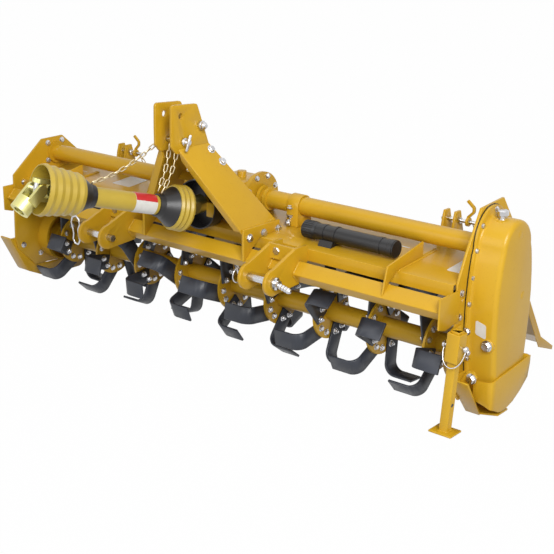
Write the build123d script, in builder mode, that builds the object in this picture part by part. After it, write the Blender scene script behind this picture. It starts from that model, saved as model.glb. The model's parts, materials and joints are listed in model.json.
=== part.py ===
"""Tractor-mounted rotary tiller, six-foot class, standing on its parking stand.

Frame: +X runs along the rotor to the gear-case end, +Y points to the rear, +Z is up.
Pieces are drawn about the rotor's middle, with heights from the rotor axis, and are
written with the origin on the floor at the middle of the machine's footprint.
"""
import math
import os

from build123d import *

os.makedirs("parts", exist_ok=True)

# ---- Rotor ---------------------------------------------------------------
flange_count = 9
flange_pitch = 206.0
flange_radius = 92.0
flange_thickness = 8.0
flange_twist = 16.3           # degrees from one flange to the next
first_blade = 61.5            # direction of the first blade, from up towards the front
tines_per_flange = 6
rotor_tube_radius = 31.0
tine_thickness = 8.0
tine_width = 58.0
tine_offset = 48.0            # a shank passes the axis at this distance
tine_height = 166.0           # from the axis to the outer face of a blade
tine_reach = 104.0            # sideways length of a blade
tine_bend = 38.0              # outer radius of the bend between shank and blade
tine_root = 30.0              # height of a shank's inner end over the axis
stub_radius = 20.0
stub_length = 38.0
rotor_end_room = 131.0        # from the last flange to the middle of a side plate

# ---- Frame widths --------------------------------------------------------
# Middle plane of each side plate.
side_plate_x = (flange_count - 1) / 2 * flange_pitch + rotor_end_room
side_plate_thickness = 8.0
hitch_center = 14.0           # the hitch sits a little towards the gear case
beam_side = 50.0
beam_wall = 6.0
beam_y = -196.0
beam_z = 187.0
beam_cap_thickness = 6.0
cap_front = 46.0              # half height of a beam cap
right_front_y = -142.0        # front edge of the right side plate
drum_radius = 98.0            # guard drum round each rotor bearing
drum_depth = 54.0
drum_wall = 8.0
bearing_radius = 46.0

# ---- Hood ----------------------------------------------------------------
hood_sheet = 4.0
hood_lip_y = -155.0
hood_lip_z = 212.0
hood_front_z = 250.0
hood_top_z = 270.0
hood_top_y = 95.0
hood_slope_y = 205.0
hood_slope_z = 240.0
hood_rear_y = 290.0
hood_rear_z = 130.0
rib_inset = 195.0             # from a side plate to the nearest rib
rib_x = side_plate_x - rib_inset
rib_thickness = 6.0

# ---- Drive tube and gearbox ----------------------------------------------
tube_y = 14.0
tube_z = 327.0
tube_radius = 30.0
tube_wall = 4.0
gearbox_half_width = 66.0
gearbox_x = hitch_center
gearbox_length = 150.0
neck_radius = 52.0
input_radius = 17.5
guard_back_y = -158.0
gearbox_flange_radius = 84.0
gearbox_flange_thickness = 12.0
input_z = 329.0
case_depth = 96.0             # gear case beyond its side plate
case_wall = 8.0
case_y = 4.0
case_top_z = 331.0
case_top_radius = 94.0
case_waist = 106.0            # half width at the waist
case_waist_z = 215.0
case_foot = 90.0
case_foot_z = -25.0
case_bottom_z = -128.0
case_fillet = 10.0
case_rim = 18.0
case_rim_thickness = 10.0
case_rim_bottom = -38.0       # the shoe covers the case below this
plug_x = side_plate_x + 50.0
guard_radius = 82.0
guard_length = 52.0
input_length = 66.0           # input shaft in front of the guard's back
joint_reach = 117.0           # joint centre in front of the guard's back

# ---- Hitch ---------------------------------------------------------------
mast_gap = 60.0               # clear space between the two link plates
mast_plate = 10.0
link_hole_radius = 10.0
link_hole_y = -317.0
link_hole_z = 638.0
mast_base_x = 218.0           # base plates, from the hitch centre
mast_sheet = 10.0
leg_top_z = 537.0
leg_foot_z = 290.0
leg_top_front = -332.0
leg_top_rear = -192.0
leg_foot_front = -236.0
leg_foot_rear = -60.0
leg_flange = 30.0
tie_y = -140.0
tie_z = 412.0
tie_depth = 30.0
chain_pin_y = -306.0
chain_pin_z = 557.0
chain_pin_radius = 8.0
spacer_y = -230.0
spacer_z = 598.0
spacer_radius = 7.5
clevis_spread = 364.0         # lower hitch, from the hitch centre
clevis_gap = 87.0
clevis_plate = 12.0
hitch_pin_y = -318.0
hitch_pin_z = 181.0
hitch_pin_radius = 11.0

ear_radius = 41.0
bridge_y = -205.0
bridge_top_z = 264.0

# ---- Skids, tailgate, fittings -------------------------------------------
skid_bottom_z = -168.0
skid_width = 62.0
skid_sheet = 6.0
shoe_front_y = -112.0
lug_width = 12.0
rod_radius = 6.0
tail_sheet = 3.0
canister_y = -85.0
canister_z = 290.0
canister_radius = 26.0
clamp_x = 262.0
clamp_width = 46.0
bracket_ear_gap = 38.0        # between the middles of a bracket's ears
bracket_bolt_y = 165.0
bracket_bolt_z = 338.0
bracket_bolt_radius = 6.0
hook_radius = 18.0
hook_bar = 8.0

# ---- Driveline -----------------------------------------------------------
drive_lean = 15.3             # degrees to the left of straight ahead
drive_rise = 15.0             # degrees upward
yoke_lean = 5.0               # the outer yoke hangs from its joint
yoke_rise = -40.0
cover_radius = 31.0
cover_start = 88.0            # distances from the inner joint, along the driveline
cover_stop = 345.0
outer_joint = 515.0
bell_ridge = 4.0
shaft_radius = 26.0
yoke_hub_radius = 31.0
yoke_ear_span = 66.0
yoke_reach = 43.0             # joint centre to hub
yoke_hub_length = 42.0

# ---- Chains --------------------------------------------------------------
link_pitch = 22.0
link_wire = 4.0
link_width = 15.0
link_play = 0.6               # free space between two links
chain_gap = 0.6               # between a chain's end and what it hangs on or lies on

# ---- Stand ---------------------------------------------------------------
stand_x = side_plate_x + 41.0
stand_y = -192.0
stand_lean = 4.0              # degrees, foot towards the machine's middle
stand_leg = 27.0
stand_leg_wall = 4.0
sleeve_wall = 7.0
stand_play = 0.3
sleeve_top_z = 130.0
sleeve_length = 88.0
leg_above_sleeve = 6.0
foot_plate = (76.0, 60.0, 6.0)
bracket_sheet = 6.0
bracket_lap = 26.0            # width of the bracket's seat on the side plate

running_gap = 0.05
seat_gap = 0.3

# The tines stand on the floor with the outer corners of their blades.
rotor_height = math.hypot(tine_height, tine_offset + tine_width / 2)


def side_plane(x):
    """Plane across the machine at x; local x is +Y, local y is the height over the axis."""
    return Plane(origin=(x, 0, rotor_height), x_dir=(0, 1, 0), z_dir=(1, 0, 0))


def front_plane(y):
    """Plane facing forward at y; local x is +X, local y is the height over the axis."""
    return Plane(origin=(0, y, rotor_height), x_dir=(1, 0, 0), z_dir=(0, -1, 0))


pieces = {}


def finish(builder, label):
    """Keep a finished piece under its name."""
    pieces[label] = builder.part


def hood_height(y):
    """Height of the hood's top face at y, between its front fold and its top."""
    share = (y - hood_lip_y) / (hood_top_y - hood_lip_y)
    return hood_front_z + share * (hood_top_z - hood_front_z)


def slope_height(y):
    """Height of the hood's top face at y, behind its top."""
    share = (y - hood_top_y) / (hood_slope_y - hood_top_y)
    return hood_top_z + share * (hood_slope_z - hood_top_z)


ends = (("left", -1), ("right", 1))

# ==== Rotor ===============================================================
flange_places = [(index - (flange_count - 1) / 2) * flange_pitch for index in range(flange_count)]
plate_inner_x = side_plate_x - side_plate_thickness / 2
beam_half = side_plate_x + side_plate_thickness / 2
tube_half = plate_inner_x - drum_depth - 2

with BuildPart() as rotor_shaft:
    with BuildSketch(side_plane(-tube_half)):
        Circle(rotor_tube_radius)
    extrude(amount=2 * tube_half)
    for place in flange_places:
        with BuildSketch(side_plane(place - flange_thickness / 2)):
            Circle(flange_radius)
        extrude(amount=flange_thickness)
    for start in (-tube_half - stub_length, tube_half):
        with BuildSketch(side_plane(start)):
            Circle(stub_radius)
        extrude(amount=stub_length)
finish(rotor_shaft, "rotor_shaft")

# One tine: a flat bar on the face x = 0 of a flange, upright, beside the axis, with its blade
# bent over to +X.
with BuildPart() as tine_blank:
    with BuildSketch(Plane.XZ.offset(tine_offset - tine_width / 2)):
        with BuildLine():
            FilletPolyline(
                (0, tine_root), (0, tine_height), (tine_reach, tine_height), radius=tine_bend,
            )
            offset(amount=tine_thickness, side=Side.RIGHT)
        make_face()
    extrude(amount=tine_width)

for hand, side in (("left_hand", -1), ("right_hand", 1)):
    with BuildPart() as tines:
        for row, place in enumerate(flange_places):
            face_x = place + side * flange_thickness / 2
            for index in range(tines_per_flange // 2):
                turn = first_blade + row * flange_twist
                turn += (2 * index + (1 - side) / 2) * 360 / tines_per_flange
                blade = tine_blank.part
                if side < 0:
                    blade = blade.mirror(Plane.YZ)
                blade = blade.rotate(Axis.X, turn).moved(Location((face_x, 0, rotor_height)))
                add(blade)
    finish(tines, f"tines_{hand}")

# ==== Side plates, bearings and beam ======================================
left_outline = (
    (-205, 20), (-197, 270), (-52, 386), (50, 387), (126, 319),
    (hood_slope_y + 15, 262), (hood_rear_y + 6, 150), (hood_rear_y + 6, 60),
    (190, -70), (60, -112), (-118, -102), (-195, -20),
)
right_outline = (
    (right_front_y, -60), (right_front_y, 247), (-100, 337), (-35, 450), (89, 458), (150, 380),
    (hood_slope_y + 15, 262), (hood_rear_y + 6, 150), (hood_rear_y + 6, 60),
    (190, -70), (100, -120), (-100, -120),
)
for (side, sign), outline in zip(ends, (left_outline, right_outline)):
    with BuildPart() as side_plate:
        with BuildSketch(side_plane(sign * side_plate_x - side_plate_thickness / 2)):
            Polygon(*outline, align=None)
        extrude(amount=side_plate_thickness)
        with BuildSketch(side_plane(sign * side_plate_x - side_plate_thickness)):
            with Locations((beam_y, beam_z)):
                Rectangle(beam_side + 2 * seat_gap, beam_side + 2 * seat_gap, rotation=45)
        extrude(amount=2 * side_plate_thickness, mode=Mode.SUBTRACT)
    finish(side_plate, f"side_plate_{side}")

with BuildPart() as rotor_bearings:
    for side, sign in ends:
        rings = (
            (drum_radius, drum_radius - drum_wall, drum_depth),
            (drum_radius, stub_radius + running_gap, drum_wall),
            (bearing_radius, stub_radius + running_gap, drum_depth),
        )
        for outer, inner, depth in rings:
            with BuildSketch(side_plane(sign * plate_inner_x)):
                Circle(outer)
                Circle(inner, mode=Mode.SUBTRACT)
            extrude(amount=-sign * depth)
        with BuildSketch(side_plane(sign * (plate_inner_x - drum_depth))):
            Circle(stub_radius + running_gap)
        extrude(amount=sign * (stub_length + 6), mode=Mode.SUBTRACT)
finish(rotor_bearings, "rotor_bearings")

with BuildPart() as front_beam:
    with BuildSketch(side_plane(-beam_half)):
        with Locations((beam_y, beam_z)):
            Rectangle(beam_side, beam_side, rotation=45)
            Rectangle(beam_side - 2 * beam_wall, beam_side - 2 * beam_wall, rotation=45, mode=Mode.SUBTRACT)
    extrude(amount=2 * beam_half)
finish(front_beam, "front_beam")

beam_reach = beam_side / math.sqrt(2)
with BuildPart() as beam_caps:
    for (side, sign), cap_rear in zip(ends, (4.0, right_front_y - beam_y + 6)):
        with BuildSketch(side_plane(sign * beam_half)):
            Polygon(
                (beam_y - cap_front, beam_z + cap_front), (beam_y + cap_rear, beam_z + cap_front),
                (beam_y + cap_rear, beam_z - cap_front), (beam_y - 8, beam_z - cap_front - 12),
                (beam_y - cap_front, beam_z - cap_front), align=None,
            )
        extrude(amount=sign * beam_cap_thickness)
finish(beam_caps, "beam_caps")

# ==== Hood ================================================================
with BuildPart() as hood:
    with BuildSketch(side_plane(-plate_inner_x)):
        with BuildLine():
            Polyline(
                (hood_lip_y, hood_lip_z), (hood_lip_y, hood_front_z), (hood_top_y, hood_top_z),
                (hood_slope_y, hood_slope_z), (hood_rear_y, hood_rear_z),
            )
            offset(amount=hood_sheet, kind=Kind.INTERSECTION, side=Side.RIGHT)
        make_face()
    extrude(amount=2 * plate_inner_x)
    # Slot for the lower half of the gearbox output flanges.
    with BuildSketch(Plane.XY.offset(rotor_height + hood_lip_z)):
        with Locations((gearbox_x + gearbox_half_width + gearbox_flange_thickness, tube_y)):
            Rectangle(2 * gearbox_flange_thickness + 4, 2 * gearbox_flange_radius + 4)
    extrude(amount=hood_top_z - hood_lip_z + hood_sheet, mode=Mode.SUBTRACT)
finish(hood, "hood")

# ==== Drive tube, gearbox and gear case ===================================
gearbox_right = gearbox_x + gearbox_half_width
gearbox_left = gearbox_x - gearbox_half_width
tubes = (
    ("drive_tube", gearbox_right + 2 * gearbox_flange_thickness, plate_inner_x),
    ("cross_tube", -plate_inner_x, gearbox_left),
)
for name, start, stop in tubes:
    with BuildPart() as tube:
        with BuildSketch(side_plane(start)):
            with Locations((tube_y, tube_z)):
                Circle(tube_radius)
                Circle(tube_radius - tube_wall, mode=Mode.SUBTRACT)
        extrude(amount=stop - start)
        if name == "drive_tube":
            flange_start = start - gearbox_flange_thickness
            flange_size = gearbox_flange_radius
        else:
            flange_start = start
            flange_size = tube_radius + 12
        with BuildSketch(side_plane(flange_start)):
            with Locations((tube_y, tube_z)):
                Circle(flange_size)
        extrude(amount=gearbox_flange_thickness)
        if name == "drive_tube":
            for ring in (8, 30):
                with BuildSketch(side_plane(start + ring)):
                    with Locations((tube_y, tube_z)):
                        Circle(tube_radius + 14 - ring / 5)
                        Circle(tube_radius - tube_wall, mode=Mode.SUBTRACT)
                extrude(amount=12)
    finish(tube, name)

with BuildPart() as gearbox:
    with BuildSketch(side_plane(gearbox_left)):
        with Locations((tube_y, tube_z)):
            RectangleRounded(gearbox_length, 2 * (tube_z - hood_top_z) - 2, 22)
    extrude(amount=2 * gearbox_half_width)
    with BuildSketch(side_plane(gearbox_right)):
        with Locations((tube_y, tube_z)):
            Circle(gearbox_flange_radius - 8)
    extrude(amount=gearbox_flange_thickness)
    with BuildSketch(front_plane(tube_y - gearbox_length / 2)):
        with Locations((gearbox_x, input_z)):
            Circle(neck_radius)
    extrude(amount=tube_y - gearbox_length / 2 - guard_back_y)
    with BuildSketch(front_plane(guard_back_y)):
        with Locations((gearbox_x, input_z)):
            Circle(input_radius)
    extrude(amount=input_length)
    with BuildSketch(Plane.XY.offset(rotor_height + tube_z + 55)):
        with Locations((gearbox_x, tube_y)):
            Circle(16)
    extrude(amount=20)
finish(gearbox, "gearbox")

with BuildPart() as input_guard:
    with BuildSketch(front_plane(guard_back_y)):
        with Locations((gearbox_x, input_z)):
            Circle(guard_radius)
            Circle(guard_radius - 4, mode=Mode.SUBTRACT)
    extrude(amount=guard_length)
    with BuildSketch(front_plane(guard_back_y)):
        with Locations((gearbox_x, input_z)):
            Circle(guard_radius)
            Circle(input_radius + seat_gap, mode=Mode.SUBTRACT)
    extrude(amount=5)
finish(input_guard, "input_guard")


def case_outline(grow):
    """Rounded outline of the gear case in the side plane, grown by the given margin."""
    with BuildSketch(mode=Mode.PRIVATE) as outline:
        with BuildLine():
            shoulder_left = (case_y - case_top_radius, case_top_z)
            shoulder_right = (case_y + case_top_radius, case_top_z)
            ThreePointArc(shoulder_left, (case_y, case_top_z + case_top_radius), shoulder_right)
            Polyline(
                shoulder_right, (case_y + case_waist, case_waist_z), (case_y + case_foot, case_foot_z),
                (case_y + case_foot - 20, case_bottom_z), (case_y - case_foot + 20, case_bottom_z),
                (case_y - case_foot, case_foot_z), (case_y - case_waist, case_waist_z), shoulder_left,
            )
        make_face()
        if grow:
            offset(amount=grow, kind=Kind.INTERSECTION)
    return outline.sketch

case_start = side_plate_x + side_plate_thickness / 2
with BuildPart() as gear_case:
    with BuildSketch(side_plane(case_start)):
        add(case_outline(case_rim))
        with Locations((case_y, case_rim_bottom - case_depth)):
            Rectangle(4 * case_foot, 2 * case_depth, mode=Mode.SUBTRACT)
    extrude(amount=case_rim_thickness)
    with BuildSketch(side_plane(case_start + case_rim_thickness)):
        add(case_outline(0))
    extrude(amount=case_depth - case_rim_thickness)
    fillet(gear_case.faces().sort_by(Axis.X)[-1].edges(), case_fillet)
    # Hollow, open towards its side plate.
    with BuildSketch(side_plane(case_start)):
        add(case_outline(-case_wall))
        with Locations((case_y, case_rim_bottom + case_rim_thickness - case_depth)):
            Rectangle(4 * case_foot, 2 * case_depth, mode=Mode.SUBTRACT)
    extrude(amount=case_depth - case_wall, mode=Mode.SUBTRACT)
    with BuildSketch(Plane.XY.offset(rotor_height + case_top_z + case_top_radius - 4)):
        with Locations((plug_x, case_y)):
            Circle(16)
    extrude(amount=22)
    with BuildSketch(front_plane(case_y - case_waist + 10)):
        with Locations((plug_x + 28, 68)):
            Circle(20)
    extrude(amount=10)
finish(gear_case, "gear_case")

# ==== Three-point hitch ===================================================
plate_centers = (mast_gap + mast_plate) / 2
leg_top_x = mast_gap / 2 + mast_plate
with BuildPart() as link_plates:
    for side, sign in ends:
        with BuildSketch(side_plane(hitch_center + sign * plate_centers - mast_plate / 2)):
            with BuildLine():
                FilletPolyline(
                    (-357, 600), (-355, 676), (-243, 668), (-192, 537), (-192, 522), (-338, 522),
                    (-357, 545), (-357, 600),
                    radius=12, close=True,
                )
            make_face()
            with Locations((link_hole_y, link_hole_z)):
                Circle(link_hole_radius, mode=Mode.SUBTRACT)
            with Locations((chain_pin_y, chain_pin_z)):
                Circle(chain_pin_radius + seat_gap, mode=Mode.SUBTRACT)
            with Locations((spacer_y, spacer_z)):
                Circle(spacer_radius + seat_gap, mode=Mode.SUBTRACT)
        extrude(amount=mast_plate)
finish(link_plates, "link_plates")

leg_run = mast_base_x - leg_top_x
leg_rise = leg_top_z - leg_foot_z
drop = mast_sheet * math.hypot(leg_run, leg_rise) / leg_run
for side, sign in ends:
    top_x = hitch_center + sign * leg_top_x
    foot_x = hitch_center + sign * mast_base_x
    with BuildPart() as mast_leg:
        with BuildSketch(front_plane(0)):
            Polygon(
                (top_x, leg_top_z), (foot_x, leg_foot_z), (foot_x, leg_foot_z - drop),
                (top_x, leg_top_z - drop), align=None,
            )
        extrude(amount=-2 * leg_top_front)
        with BuildSketch(side_plane(hitch_center - 2 * mast_base_x)):
            Polygon(
                (leg_top_front, leg_top_z), (leg_top_rear, leg_top_z),
                (leg_foot_rear, leg_foot_z - drop), (leg_foot_front, leg_foot_z - drop), align=None,
            )
        extrude(amount=4 * mast_base_x, mode=Mode.INTERSECT)
        # Stiffening flange folded inward along the front edge.
        with BuildPart(mode=Mode.PRIVATE) as front_fold:
            with BuildSketch(front_plane(0)):
                Polygon(
                    (top_x, leg_top_z - drop / 2), (foot_x, leg_foot_z - drop / 2),
                    (foot_x - sign * leg_flange, leg_foot_z - drop / 2),
                    (top_x, leg_top_z - leg_flange * leg_rise / leg_run), align=None,
                )
            extrude(amount=-2 * leg_top_front)
            with BuildSketch(side_plane(hitch_center - 2 * mast_base_x)):
                Polygon(
                    (leg_top_front, leg_top_z), (leg_top_front + mast_sheet, leg_top_z),
                    (leg_foot_front + mast_sheet, leg_foot_z - drop),
                    (leg_foot_front, leg_foot_z - drop), align=None,
                )
            extrude(amount=4 * mast_base_x, mode=Mode.INTERSECT)
        add(front_fold.part)
    finish(mast_leg, f"mast_leg_{side}")

with BuildPart() as mast_bases:
    for side, sign in ends:
        with BuildSketch(side_plane(hitch_center + sign * mast_base_x)):
            Polygon(
                (leg_foot_front, leg_foot_z), (leg_foot_rear, leg_foot_z),
                (leg_foot_rear, hood_height(leg_foot_rear) + seat_gap),
                (hood_lip_y, hood_front_z + seat_gap), (beam_y, beam_z + beam_reach + seat_gap),
                (beam_y - beam_reach, beam_z + seat_gap), (leg_foot_front, beam_z), align=None,
            )
        extrude(amount=sign * mast_sheet)
finish(mast_bases, "mast_bases")

tie_top = leg_top_x + leg_run * (leg_top_z - drop - tie_z) / leg_rise
tie_bottom = leg_top_x + leg_run * (leg_top_z - drop - tie_z + tie_depth) / leg_rise
with BuildPart() as mast_tie:
    with BuildSketch(front_plane(tie_y)):
        Polygon(
            (hitch_center - tie_top, tie_z), (hitch_center + tie_top, tie_z),
            (hitch_center + tie_bottom, tie_z - tie_depth), (hitch_center - tie_bottom, tie_z - tie_depth),
            align=None,
        )
    extrude(amount=mast_sheet)
finish(mast_tie, "mast_tie")

# Lower hitch: two ears on a bridge plate, notched over the front corner of the beam.
clevis_half = clevis_gap / 2
with BuildPart() as hitch_clevises:
    for side, sign in ends:
        clevis_x = hitch_center + sign * clevis_spread
        for ear in (-clevis_half - clevis_plate, clevis_half):
            with BuildSketch(side_plane(clevis_x + ear)):
                with Locations((hitch_pin_y, hitch_pin_z)):
                    Circle(ear_radius)
                Polygon(
                    (hitch_pin_y - 26, hitch_pin_z + 31), (bridge_y - 6, bridge_top_z),
                    (hood_lip_y - seat_gap, bridge_top_z), (hood_lip_y - seat_gap, hood_lip_z),
                    (beam_y, beam_z - beam_reach - 4), (hitch_pin_y + 6, hitch_pin_z - 40),
                    align=None,
                )
                with Locations((beam_y, beam_z)):
                    Rectangle(
                        beam_side + 2 * seat_gap, beam_side + 2 * seat_gap, rotation=45,
                        mode=Mode.SUBTRACT,
                    )
                with Locations((beam_y + beam_side, beam_z - 10)):
                    Rectangle(beam_side * 2, beam_reach + 20, mode=Mode.SUBTRACT)
                with Locations((hitch_pin_y, hitch_pin_z)):
                    Circle(hitch_pin_radius + seat_gap, mode=Mode.SUBTRACT)
            extrude(amount=clevis_plate)
        with BuildSketch(front_plane(bridge_y)):
            with Locations((clevis_x, (bridge_top_z + beam_z + 30) / 2)):
                Rectangle(clevis_gap + 2 * clevis_plate, bridge_top_z - beam_z - 30)
        extrude(amount=clevis_plate)
finish(hitch_clevises, "hitch_clevises")

with BuildPart() as hitch_pins:
    for side, sign in ends:
        clevis_x = hitch_center + sign * clevis_spread
        with BuildSketch(side_plane(clevis_x - sign * (clevis_half + clevis_plate + 22))):
            with Locations((hitch_pin_y, hitch_pin_z)):
                Circle(hitch_pin_radius)
        extrude(amount=sign * (clevis_gap + 2 * clevis_plate + 44))
        with BuildSketch(side_plane(clevis_x + sign * (clevis_half + clevis_plate + seat_gap))):
            with Locations((hitch_pin_y, hitch_pin_z)):
                Circle(hitch_pin_radius + 8)
        extrude(amount=sign * 8)
finish(hitch_pins, "hitch_pins")

with BuildPart() as mast_pins:
    mast_half = mast_gap / 2 + mast_plate
    pins = (
        (chain_pin_y, chain_pin_z, chain_pin_radius, 26),
        (spacer_y, spacer_z, spacer_radius, 22),
    )
    for pin_y, pin_z, radius, overhang in pins:
        with BuildSketch(side_plane(hitch_center - mast_half - overhang)):
            with Locations((pin_y, pin_z)):
                Circle(radius)
        extrude(amount=2 * (mast_half + overhang))
finish(mast_pins, "mast_pins")

# ==== Skid shoes ==========================================================
with BuildPart() as skid_left:
    with BuildSketch(side_plane(-case_start - skid_width)):
        with BuildLine():
            FilletPolyline(
                (-226, 20), (-150, -125), (-60, skid_bottom_z), (120, skid_bottom_z), (185, -110),
                radius=30,
            )
            offset(amount=skid_sheet, side=Side.LEFT)
        make_face()
    extrude(amount=skid_width)
    with BuildSketch(side_plane(-case_start - skid_sheet)):
        Polygon(
            (-224, 22), (-190, 22), (-110, -96), (-50, -112), (110, -112), (170, -90), (182, -112),
            (120, skid_bottom_z + 2), (-60, skid_bottom_z + 2), (-150, -123), align=None,
        )
    extrude(amount=skid_sheet)
finish(skid_left, "skid_left")

shoe_inner_x = case_start
shoe_outer_x = case_start + case_depth + seat_gap
with BuildPart() as skid_right:
    with BuildSketch(side_plane(shoe_inner_x)):
        with BuildLine():
            FilletPolyline(
                (-158, -36), (-52, skid_bottom_z), (100, skid_bottom_z), (150, -108), radius=16,
            )
            offset(amount=skid_sheet, side=Side.LEFT)
        make_face()
    extrude(amount=shoe_outer_x + skid_sheet - shoe_inner_x)
    with BuildSketch(side_plane(shoe_inner_x)):
        Polygon(
            (-150, -44), (100, -44), (146, -106), (98, skid_bottom_z + 2), (-50, skid_bottom_z + 2),
            align=None,
        )
    extrude(amount=skid_sheet)
    # Opening between the front slope and the outer wall.
    with BuildSketch(side_plane(shoe_outer_x - 44)):
        Polygon((-180, -20), (-60, -20), (-60, -200), (-180, -200), align=None)
    extrude(amount=60, mode=Mode.SUBTRACT)
    with BuildSketch(side_plane(shoe_outer_x)):
        Polygon(
            (shoe_front_y, -36), (146, -28), (146, -106), (100, skid_bottom_z + 2),
            (-30, skid_bottom_z + 2), (shoe_front_y, -116), align=None,
        )
    extrude(amount=skid_sheet)
    with BuildSketch(side_plane(shoe_outer_x - 50)):
        Polygon(
            (shoe_front_y, -36), (shoe_front_y + skid_sheet, -36), (shoe_front_y + skid_sheet, -116),
            (shoe_front_y, -116), align=None,
        )
    extrude(amount=50)
finish(skid_right, "skid_right")

# ==== Parking stand =======================================================
stand_way = Vector(-math.sin(math.radians(stand_lean)), 0, -math.cos(math.radians(stand_lean)))
stand_top = Vector(stand_x, stand_y, rotor_height + sleeve_top_z)
sleeve_bore = stand_leg + 2 * stand_play
sleeve_side = sleeve_bore + 2 * sleeve_wall
stand_plane = Plane(origin=stand_top, x_dir=(0, 1, 0), z_dir=stand_way)
with BuildPart() as stand_sleeve:
    with BuildSketch(stand_plane):
        Rectangle(sleeve_side, sleeve_side)
    extrude(amount=sleeve_length)
    # Bracket that carries the sleeve on the side plate.
    with BuildSketch(Plane.XY.offset(rotor_height + sleeve_top_z - sleeve_length + 6)):
        Polygon(
            (case_start, right_front_y + bracket_lap), (case_start, right_front_y - 28),
            (stand_x - sleeve_side / 2 + 4, stand_y), (stand_x, stand_y),
            (stand_x, stand_y + sleeve_side / 2), (case_start + bracket_sheet, right_front_y),
            (case_start + bracket_sheet, right_front_y + bracket_lap), align=None,
        )
    extrude(amount=sleeve_length - 12)
    with BuildSketch(stand_plane.offset(-sleeve_length)):
        Rectangle(sleeve_bore, sleeve_bore)
    extrude(amount=3 * sleeve_length, mode=Mode.SUBTRACT)
finish(stand_sleeve, "stand_sleeve")

foot_drop = (rotor_height + sleeve_top_z) / -stand_way.Z
foot_x = (stand_top + stand_way * foot_drop).X
with BuildPart() as stand_leg_tube:
    with BuildSketch(stand_plane.offset(-leg_above_sleeve)):
        Rectangle(stand_leg, stand_leg)
        Rectangle(stand_leg - 2 * stand_leg_wall, stand_leg - 2 * stand_leg_wall, mode=Mode.SUBTRACT)
    extrude(amount=leg_above_sleeve + foot_drop + stand_leg)
    split(bisect_by=Plane.XY.offset(foot_plate[2] / 2), keep=Keep.TOP)
    with BuildSketch(Plane.XY):
        with Locations((foot_x, stand_y)):
            Rectangle(foot_plate[0], foot_plate[1])
    extrude(amount=foot_plate[2])
finish(stand_leg_tube, "stand_leg")

# ==== Tailgate ============================================================
hinge_y = hood_rear_y + 14
hinge_z = hood_rear_z - 4
slope_run = hood_rear_y - hood_slope_y
slope_drop = hood_slope_z - hood_rear_z
slope_length = math.hypot(slope_run, slope_drop)
slope_out = Vector(slope_drop, slope_run) / slope_length
slope_up = Vector(-slope_run, slope_drop) / slope_length
hood_edge = Vector(hood_rear_y, hood_rear_z)
hinge_point = Vector(hinge_y, hinge_z)
lug_places = [-800, -400, 0, 400, 800]
with BuildPart() as tailgate_lugs:
    for place in lug_places:
        with BuildSketch(side_plane(place - lug_width / 2)):
            with Locations((hinge_y, hinge_z)):
                Circle(12)
            lug_corners = (
                hood_edge + slope_out * seat_gap,
                hood_edge + slope_up * 40 + slope_out * seat_gap,
                hood_edge + slope_up * 40 + slope_out * 10,
                hinge_point + slope_out * 12,
                hinge_point,
            )
            Polygon(*[(corner.X, corner.Y) for corner in lug_corners], align=None)
            with Locations((hinge_y, hinge_z)):
                Circle(rod_radius + running_gap, mode=Mode.SUBTRACT)
        extrude(amount=lug_width)
finish(tailgate_lugs, "tailgate_lugs")

tailgate_half = plate_inner_x - 16
with BuildPart() as tailgate:
    with BuildSketch(side_plane(-tailgate_half)):
        with BuildLine():
            Polyline((hinge_y + 4, hinge_z), (450, -88), (541, -147))
            offset(amount=tail_sheet, kind=Kind.INTERSECTION, side=Side.RIGHT)
        make_face()
    extrude(amount=2 * tailgate_half)
    for start in (-tailgate_half, tailgate_half - tail_sheet):
        with BuildSketch(side_plane(start)):
            Polygon(
                (hinge_y + 20, hinge_z - 20), (450, -88), (541, -147), (538, -160), (440, -122),
                (hinge_y + 30, hinge_z - 80), align=None,
            )
        extrude(amount=tail_sheet)
    for place in lug_places:
        with BuildSketch(side_plane(place - lug_width / 2 - 4)):
            with Locations((hinge_y, hinge_z)):
                Circle(26)
        extrude(amount=lug_width + 8, mode=Mode.SUBTRACT)
    with BuildSketch(side_plane(-tailgate_half)):
        with Locations((hinge_y, hinge_z)):
            Circle(rod_radius)
    extrude(amount=2 * tailgate_half)
finish(tailgate, "tailgate")

# ==== On the hood =========================================================
with BuildPart() as hood_ribs:
    for sign in (-1, 1):
        with BuildSketch(side_plane(sign * rib_x - rib_thickness / 2)):
            Polygon(
                (beam_y - beam_reach + 4, beam_z + 5), (beam_y - 8, 276), (tube_y - tube_radius - 3, 310),
                (tube_y - tube_radius - 3, hood_height(tube_y - tube_radius - 3) + seat_gap),
                (hood_lip_y, hood_front_z + seat_gap), (beam_y, beam_z + beam_reach + seat_gap), align=None,
            )
        extrude(amount=rib_thickness)
finish(hood_ribs, "hood_ribs")

with BuildPart() as manual_canister:
    with BuildSketch(side_plane(372)):
        with Locations((canister_y, canister_z)):
            Circle(canister_radius)
    extrude(amount=340)
    with BuildSketch(side_plane(440)):
        Polygon(
            (canister_y - 20, canister_z - canister_radius + 8), (canister_y + 20, canister_z - canister_radius + 8),
            (canister_y + 30, hood_height(canister_y + 30) + seat_gap),
            (canister_y - 30, hood_height(canister_y - 30) + seat_gap), align=None,
        )
    extrude(amount=50)
finish(manual_canister, "manual_canister")

with BuildPart() as tube_clamps:
    for place in (-clamp_x, clamp_x):
        with BuildSketch(side_plane(place - clamp_width / 2)):
            with Locations((tube_y, tube_z)):
                Circle(tube_radius + 6)
            Polygon(
                (tube_y - tube_radius - 6, tube_z), (tube_y + tube_radius + 6, tube_z),
                (tube_y + tube_radius + 6, hood_height(tube_y + tube_radius + 6) + seat_gap),
                (tube_y - tube_radius - 6, hood_height(tube_y - tube_radius - 6) + seat_gap), align=None,
            )
            with Locations((tube_y, tube_z)):
                Circle(tube_radius + seat_gap, mode=Mode.SUBTRACT)
        extrude(amount=clamp_width)
finish(tube_clamps, "tube_clamps")

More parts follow.
